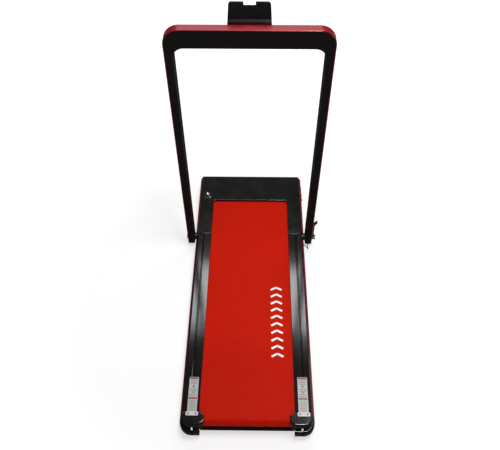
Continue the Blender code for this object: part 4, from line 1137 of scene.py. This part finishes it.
class TREADMILL_OT_handrail_hoop(Operator):
    """Builds the red hoop tube and its black fascia"""

    bl_idname = "treadmill.handrail_hoop"
    bl_label = "Handrail Hoop"

    def execute(self, context):
        low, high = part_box("hoop_frame")
        skin, gap = sizes().fascia, 0.0003
        front, back = low.y - HOOP_PIVOT.y, high.y - HOOP_PIVOT.y
        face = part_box("hoop_fascia")[0].y - HOOP_PIVOT.y
        tube_rings, fascia_rings = [], []
        for station in hoop_stations():
            outer = station[2]
            # The red shows beside the fascia on the uprights and only just above it on the crossbar.
            lip = outer - 0.0015 - 0.0030 * abs(station[1].x)
            tube = rounded_outline(
                [
                    (skin + gap + HOOP_DRAFT, front, 0.0005), (lip + gap, front, 0.0003),
                    (lip + gap, face + 0.0006, 0.0004),
                    (outer, face + 0.0006, 0.0011 + 0.0030 * abs(station[1].x)), (outer, back, 0.004),
                    (skin + gap, back, 0.002),
                ],
                6,
            )
            tube_rings.append(hoop_ring(station, tube))
            fascia = rounded_outline(
                [
                    (HOOP_DRAFT, face, 0.0014), (lip, face, 0.0010), (lip, face + skin, 0.0003),
                    (skin + HOOP_DRAFT, face + skin, 0.0003), (skin, back - 0.002, 0.0003),
                    (0.0, back - 0.002, 0.0006),
                ],
                4,
            )
            fascia_rings.append(hoop_ring(station, fascia))
        tube = to_object("hoop_tube", ring_mesh(tube_rings), finish("enamel"))
        place(tube, "hoop", "red_paint", ["hoop_frame"])
        fascia = to_object("hoop_fascia_skin", ring_mesh(fascia_rings), finish("fascia"))
        place(fascia, "hoop", "black_gloss_plastic", ["hoop_fascia"])
        return {"FINISHED"}


class TREADMILL_OT_hoop_fittings(Operator):
    """Finishes the device holder, plugs and console board"""

    bl_idname = "treadmill.hoop_fittings"
    bl_label = "Hoop Fittings"

    def execute(self, context):
        finished_copy("holder_plate", "grained", "black_satin_plastic", 0.0009, 3)
        finished_copy("console_board", "board", "circuit_board", 0.0002)
        for name, _ in SIDES:
            finished_copy(f"{name}_upright_plug", "rubber", "rubber", 0.0008)
        return {"FINISHED"}


class TREADMILL_OT_pivots(Operator):
    """Turns the pivot bosses and the left bolt"""

    bl_idname = "treadmill.pivots"
    bl_label = "Pivots"

    def execute(self, context):
        for name, side in SIDES:
            low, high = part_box(f"{name}_pivot_bracket")
            start, end = sorted((abs(low.x), abs(high.x)))
            corners = [(0.0064, start), (0.025, start), (0.025, 0.2345), (0.016, 0.2345), (0.016, end), (0.0064, end)]
            corners = [(radius, side * x) for radius, x in corners]
            names = "powder", "base", "black_painted_steel", f"{name}_pivot_bracket"
            turned_piece(f"{name}_pivot_boss", corners, HOOP_PIVOT, "X", *names, 0.0008, sides=72)
        low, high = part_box("left_pivot_bolt")
        face = -(HOOP_PIVOT.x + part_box("hoop_frame")[1].x)
        corners = [
            (0, high.x), (0.006, high.x), (0.006, face - 0.0003), (0.0115, face - 0.0003), (0.0115, face - 0.0025),
            (0.0090, face - 0.0040), (0.0040, low.x), (0.0040, low.x + 0.0022), (0, low.x + 0.0022),
        ]
        names = "powder", "hoop", "black_painted_steel", "left_pivot_bolt"
        turned_piece("left_pivot_bolt_turned", corners, HOOP_PIVOT, "X", *names)
        finished_copy("right_pivot_skewer", "chrome", "chrome", 0.0006, 3)
        finished_copy("lever_cam_pin", "zinc", "zinc_plate", 0.0003)
        finished_copy("release_lever", "chrome", "chrome", 0.0009, 3)
        return {"FINISHED"}


# --- safety knob ----------------------------------------------------------------------------


class TREADMILL_OT_safety_knob(Operator):
    """Turns the safety-key knob and its socket"""

    bl_idname = "treadmill.safety_knob"
    bl_label = "Safety Knob"

    def execute(self, context):
        low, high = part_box("safety_key")
        centre, base = upright_axis("safety_key"), low.z
        corners = [
            (0, base), (0.0147, base), (0.0147, base + 0.0062), (0.0120, base + 0.0085), (0.0088, base + 0.0110),
            (0.0082, base + 0.0160), (0.0098, base + 0.0225), (0.0103, base + 0.0265), (0.0085, base + 0.0300),
            (0.0045, base + 0.0318), (0, high.z),
        ]
        names = "chrome", "key", "chrome", "safety_key"
        turned_piece("safety_knob", corners, centre, "Z", *names, 0.002, steps=5, smooth_angle=60)
        low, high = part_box("key_socket")
        floor, deck = low.z, high.z - 0.0013
        corners = [
            (0, floor), (0.0160, floor), (0.0160, deck + 0.0003), (0.0185, deck + 0.0003), (0.0180, high.z),
            (0.0152, high.z), (0.0152, floor + 0.0016), (0, floor + 0.0016),
        ]
        names = "grained", "base", "black_satin_plastic", "key_socket"
        turned_piece("knob_socket", corners, centre, "Z", *names)
        return {"FINISHED"}


# --- console cable --------------------------------------------------------------------------

CABLE_RADIUS = 0.0017
CABLE_ROUTE = [
    Vector((0.272, 0.279, 0.0262)),
    Vector((0.272, 0.2780, 0.0190)),
    Vector((0.272, 0.2720, 0.0120)),
    Vector((0.2725, 0.2620, 0.0095)),
    Vector((0.2730, 0.2500, 0.0120)),
    Vector((0.2710, 0.2410, 0.0200)),
    Vector((0.2670, 0.2390, 0.0300)),
    Vector((0.2610, 0.2425, 0.0370)),
    Vector((0.2529, 0.250, 0.039)),
]


def smooth_route(points, steps):
    """Points along a Catmull-Rom curve through the route's own points."""
    padded = [points[0] * 2 - points[1], *points, points[-1] * 2 - points[-2]]
    route = []
    for before, start, end, after in zip(padded, padded[1:], padded[2:], padded[3:]):
        for step in range(steps):
            t = step / steps
            even = 2 * start + (2 * before - 5 * start + 4 * end - after) * t**2
            odd = (end - before) * t + (3 * start - before - 3 * end + after) * t**3
            route.append((even + odd) / 2)
    return [*route, points[-1]]


def tube_rings(route, radius, sides):
    """Rings round a route, each turned as little as possible from the last."""
    rings = []
    across = Vector((1, 0, 0))
    for index, here in enumerate(route):
        ahead = route[min(index + 1, len(route) - 1)] - route[max(index - 1, 0)]
        ahead.normalize()
        across = (across - ahead * across.dot(ahead)).normalized()
        up = ahead.cross(across)
        ring = []
        for side in range(sides):
            angle = 2 * math.pi * side / sides
            ring.append(here + (across * math.cos(angle) + up * math.sin(angle)) * radius)
        rings.append(ring)
    return rings


class TREADMILL_OT_console_cable(Operator):
    """Builds the cable from the hoop's foot into the base"""

    bl_idname = "treadmill.console_cable"
    bl_label = "Console Cable"

    def execute(self, context):
        route = smooth_route(CABLE_ROUTE, 10)
        cable = to_object("console_cable_jacket", ring_mesh(tube_rings(route, CABLE_RADIUS, 16)), finish("cable"), 60)
        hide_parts("console_cable")
        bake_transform(cable)
        finished_copy("cable_grommet", "rubber", "rubber", 0.0003)
        return {"FINISHED"}


# --- frame, deck, drive and feet ------------------------------------------------------------

FRAME_FINISHES = {
    "frame_tube": ("powder", "black_painted_steel", 0.0008),
    "deck_cushion": ("rubber", "rubber", 0.0006),
    "wheel_housing": ("grained", "black_satin_plastic", 0.0008),
    "wheel_axle": ("zinc", "zinc_plate", 0.0003),
    "adjusting_bolt": ("zinc", "zinc_plate", 0.0003),
}
SINGLE_FINISHES = {
    "front_cross_tube": ("powder", "black_painted_steel", 0.0008),
    "rear_cross_tube": ("powder", "black_painted_steel", 0.0008),
    "motor_tray": ("powder", "black_painted_steel", 0.0006),
    "running_deck": ("fibreboard", "fibreboard", 0.0006),
    "rear_guard": ("grained", "black_satin_plastic", 0.0008),
    "front_roller": ("steel", "bright_steel", 0.0005),
    "rear_roller": ("steel", "bright_steel", 0.0005),
    "front_roller_shaft": ("steel", "bright_steel", 0.0004),
    "rear_roller_shaft": ("steel", "bright_steel", 0.0002),
    "roller_pulley": ("steel", "bright_steel", 0.0005),
    "motor_shaft": ("steel", "bright_steel", 0.0003),
    "flywheel": ("steel", "bright_steel", 0.0006),
    "motor_can": ("powder", "motor_steel", 0.0008),
    "motor_saddle": ("zinc", "zinc_plate", 0.0005),
    "drive_belt": ("rubber", "rubber", 0.0003),
    "controller_box": ("aluminium", "aluminium", 0.0005),
    "power_inlet": ("grained", "black_satin_plastic", 0.0003),
    "switch_bezel": ("grained", "black_satin_plastic", 0.0004),
    "rocker_button": ("grained", "black_satin_plastic", 0.0005),
    "breaker_button": ("grained", "black_satin_plastic", 0.0004),
}


class TREADMILL_OT_frame_and_drive(Operator):
    """Finishes the frame, deck, rollers, motor and mains panel"""

    bl_idname = "treadmill.frame_and_drive"
    bl_label = "Frame and Drive"

    def execute(self, context):
        for part, (finish_name, slot, edge) in FRAME_FINISHES.items():
            for name, _ in SIDES:
                finished_copy(f"{name}_{part}", finish_name, slot, edge)
        for part, (finish_name, slot, edge) in SINGLE_FINISHES.items():
            finished_copy(part, finish_name, slot, edge)
        return {"FINISHED"}


class TREADMILL_OT_wheels_and_feet(Operator):
    """Turns the transport wheels and the rubber feet"""

    bl_idname = "treadmill.wheels_and_feet"
    bl_label = "Wheels and Feet"

    def execute(self, context):
        for name, _ in SIDES:
            low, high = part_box(f"{name}_wheel")
            centre, radius, half = (low + high) / 2, (high.z - low.z) / 2, (high.x - low.x) / 2
            rim, dish = radius - 0.0025, half - 0.0015
            outer_side = [(0.0034, half), (0.0070, half), (0.0075, dish), (rim - 0.0005, dish)]
            outer_side += [(rim, half), (radius - 0.0015, half), (radius, dish)]
            corners = [(r, -x) for r, x in outer_side] + outer_side[::-1]
            names = "rubber", f"{name}_wheel", "rubber", f"{name}_wheel"
            turned_piece(f"{name}_wheel_tread", corners, centre, "X", *names)
            for end in ("front", "rear"):
                foot = f"{name}_{end}_foot"
                low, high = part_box(foot)
                radius = (high.x - low.x) / 2
                groove = radius - 0.0012
                corners = [
                    (0, 0), (radius - 0.0015, 0), (radius, 0.002), (radius, 0.009), (groove, 0.0100),
                    (groove, 0.0112), (radius, 0.0122), (radius, high.z), (0, high.z),
                ]
                turned_piece(f"{foot}_pad", corners, upright_axis(foot), "Z", "rubber", "base", "rubber", foot)
        return {"FINISHED"}


class TREADMILL_OT_cover_screws(Operator):
    """Drives cross-head screws up through the rims and the motor tray"""

    bl_idname = "treadmill.cover_screws"
    bl_label = "Cover Screws"

    def execute(self, context):
        material = finish("zinc")
        tree = screw_tree(material)
        radius, height = sizes().screw_radius, 0.0018
        rim_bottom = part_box("right_side_skirt")[0].z
        tray_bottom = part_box("motor_tray")[0].z
        points = []
        for _, side in SIDES:
            for step in range(7):
                points.append((side * 0.2335, -0.52 + 0.17 * step, rim_bottom - height / 2 + 0.0001))
            for y in (0.475, 0.555):
                points.append((side * 0.15, y, tray_bottom - height / 2 + 0.0001))
        facing_down = {"Head Radius": radius, "Head Height": height}
        downwards = points_mesh(points)
        screws = run_tree("underside_screws", downwards, tree, facing_down, material)
        # The tree's recess is on the upper face, so the heads turn over about their own middle.
        for vertex in screws.data.vertices:
            nearest = min(points, key=lambda p: (Vector(p[:2]) - vertex.co.xy).length_squared)
            vertex.co.z = 2 * nearest[2] - vertex.co.z
        screws.data.flip_normals()
        place(screws, "base")
        return {"FINISHED"}


# --- stage ----------------------------------------------------------------------------------


def area_light(name, location, target, size, power):
    light = bpy.data.lights.new(name, "AREA")
    light.shape = "RECTANGLE"
    light.size, light.size_y = size
    light.energy = power
    made = bpy.data.objects.new(name, light)
    made.location = location
    made.rotation_mode = "QUATERNION"
    made.rotation_quaternion = (Vector(target) - Vector(location)).to_track_quat("-Z", "Y")
    bpy.context.scene.collection.objects.link(made)
    return made


class TREADMILL_OT_stage(Operator):
    """Sets the camera, the softboxes and the paper floor"""

    bl_idname = "treadmill.stage"
    bl_label = "Stage"

    def execute(self, context):
        studio = context.scene.treadmill_studio
        data = bpy.data.cameras.new("camera")
        data.lens, data.sensor_width = studio.camera_lens, 36.0
        camera = bpy.data.objects.new("camera", data)
        camera.location = (studio.camera_x, studio.camera_y, studio.camera_z)
        turn = Matrix.Rotation(-studio.camera_yaw, 4, "Z")
        tilt = Matrix.Rotation(math.pi / 2 - studio.camera_pitch, 4, "X")
        roll = Matrix.Rotation(studio.camera_roll, 4, "Z")
        camera.rotation_mode = "QUATERNION"
        camera.rotation_quaternion = (turn @ tilt @ roll).to_quaternion()
        context.scene.collection.objects.link(camera)
        context.scene.camera = camera

        half = 9.0
        outline = rectangle((-half, half), (-half, half))
        floor = to_object("paper_floor", prism_mesh(outline, "Z", -0.02, 0.0), finish("paper"))
        # Black plastics stay black because they mirror the dark room rather than the lit paper.
        floor.visible_glossy = False

        # The back softbox draws the long reflections on the rails, and the distant one lifts the top of the crossbar.
        area_light("key_softbox", (0.5, -0.25, 3.4), (0, -0.1, 0.1), (1.2, 0.6), studio.key_power)
        area_light("back_softbox", (0.1, 1.90, 3.2), (0, 0.0, 0.1), (2.4, 0.66), studio.back_power)
        area_light("side_softbox", (4.2, 0.6, 1.7), (0, 0.1, 0.4), (2.4, 1.4), studio.side_power)
        area_light("crossbar_softbox", (-0.1, 6.3, 4.75), (0, 0.3, 1.14), (3.4, 0.7), studio.crossbar_power)

        world = bpy.data.worlds.new("studio")
        world.use_nodes = True
        tree = world.node_tree
        backdrop = tree.nodes["Background"]
        backdrop.inputs["Color"].default_value = (1.0, 1.0, 1.0, 1.0)
        rays = node(tree, "ShaderNodeLightPath")
        strength = node(
            tree, "ShaderNodeMapRange", {"To Min": 0.07, "To Max": 1.0}, {"Value": (rays, "Is Camera Ray")}
        )
        tree.links.new(strength.outputs["Result"], backdrop.inputs["Strength"])
        context.scene.world = world
        context.scene.view_settings.view_transform = "Standard"
        return {"FINISHED"}


# --- panel and registration -----------------------------------------------------------------

OPERATORS = (
    TREADMILL_OT_stage,
    TREADMILL_OT_console_cable,
    TREADMILL_OT_running_belt,
    TREADMILL_OT_belt_chevrons,
    TREADMILL_OT_motor_cover,
    TREADMILL_OT_foot_rails,
    TREADMILL_OT_end_caps,
    TREADMILL_OT_side_rims,
    TREADMILL_OT_labels,
    TREADMILL_OT_handrail_hoop,
    TREADMILL_OT_hoop_fittings,
    TREADMILL_OT_pivots,
    TREADMILL_OT_safety_knob,
    TREADMILL_OT_frame_and_drive,
    TREADMILL_OT_wheels_and_feet,
    TREADMILL_OT_cover_screws,
)


class TREADMILL_PT_pieces(Panel):
    """Lists the treadmill's pieces in the sidebar"""

    bl_label = "Treadmill"
    bl_idname = "TREADMILL_PT_pieces"
    bl_space_type = "VIEW_3D"
    bl_region_type = "UI"
    bl_category = "Treadmill"

    def draw(self, context):
        for operator in OPERATORS:
            self.layout.operator(operator.bl_idname)
        for group in (context.scene.treadmill_sizes, context.scene.treadmill_colours, context.scene.treadmill_studio):
            box = self.layout.box()
            for name in group.__annotations__:
                box.prop(group, name)


GROUPS = {
    "treadmill_sizes": TreadmillSizes,
    "treadmill_colours": TreadmillColours,
    "treadmill_studio": TreadmillStudio,
}


def register():
    for made in (*GROUPS.values(), *OPERATORS, TREADMILL_PT_pieces):
        bpy.utils.register_class(made)
    for name, group in GROUPS.items():
        setattr(bpy.types.Scene, name, PointerProperty(type=group))


def unregister():
    for name in GROUPS:
        delattr(bpy.types.Scene, name)
    for made in reversed((*GROUPS.values(), *OPERATORS, TREADMILL_PT_pieces)):
        bpy.utils.unregister_class(made)


def main():
    register()
    for operator in OPERATORS:
        category, name = operator.bl_idname.split(".")
        getattr(getattr(bpy.ops, category), name)()


if __name__ == "__main__":
    main()
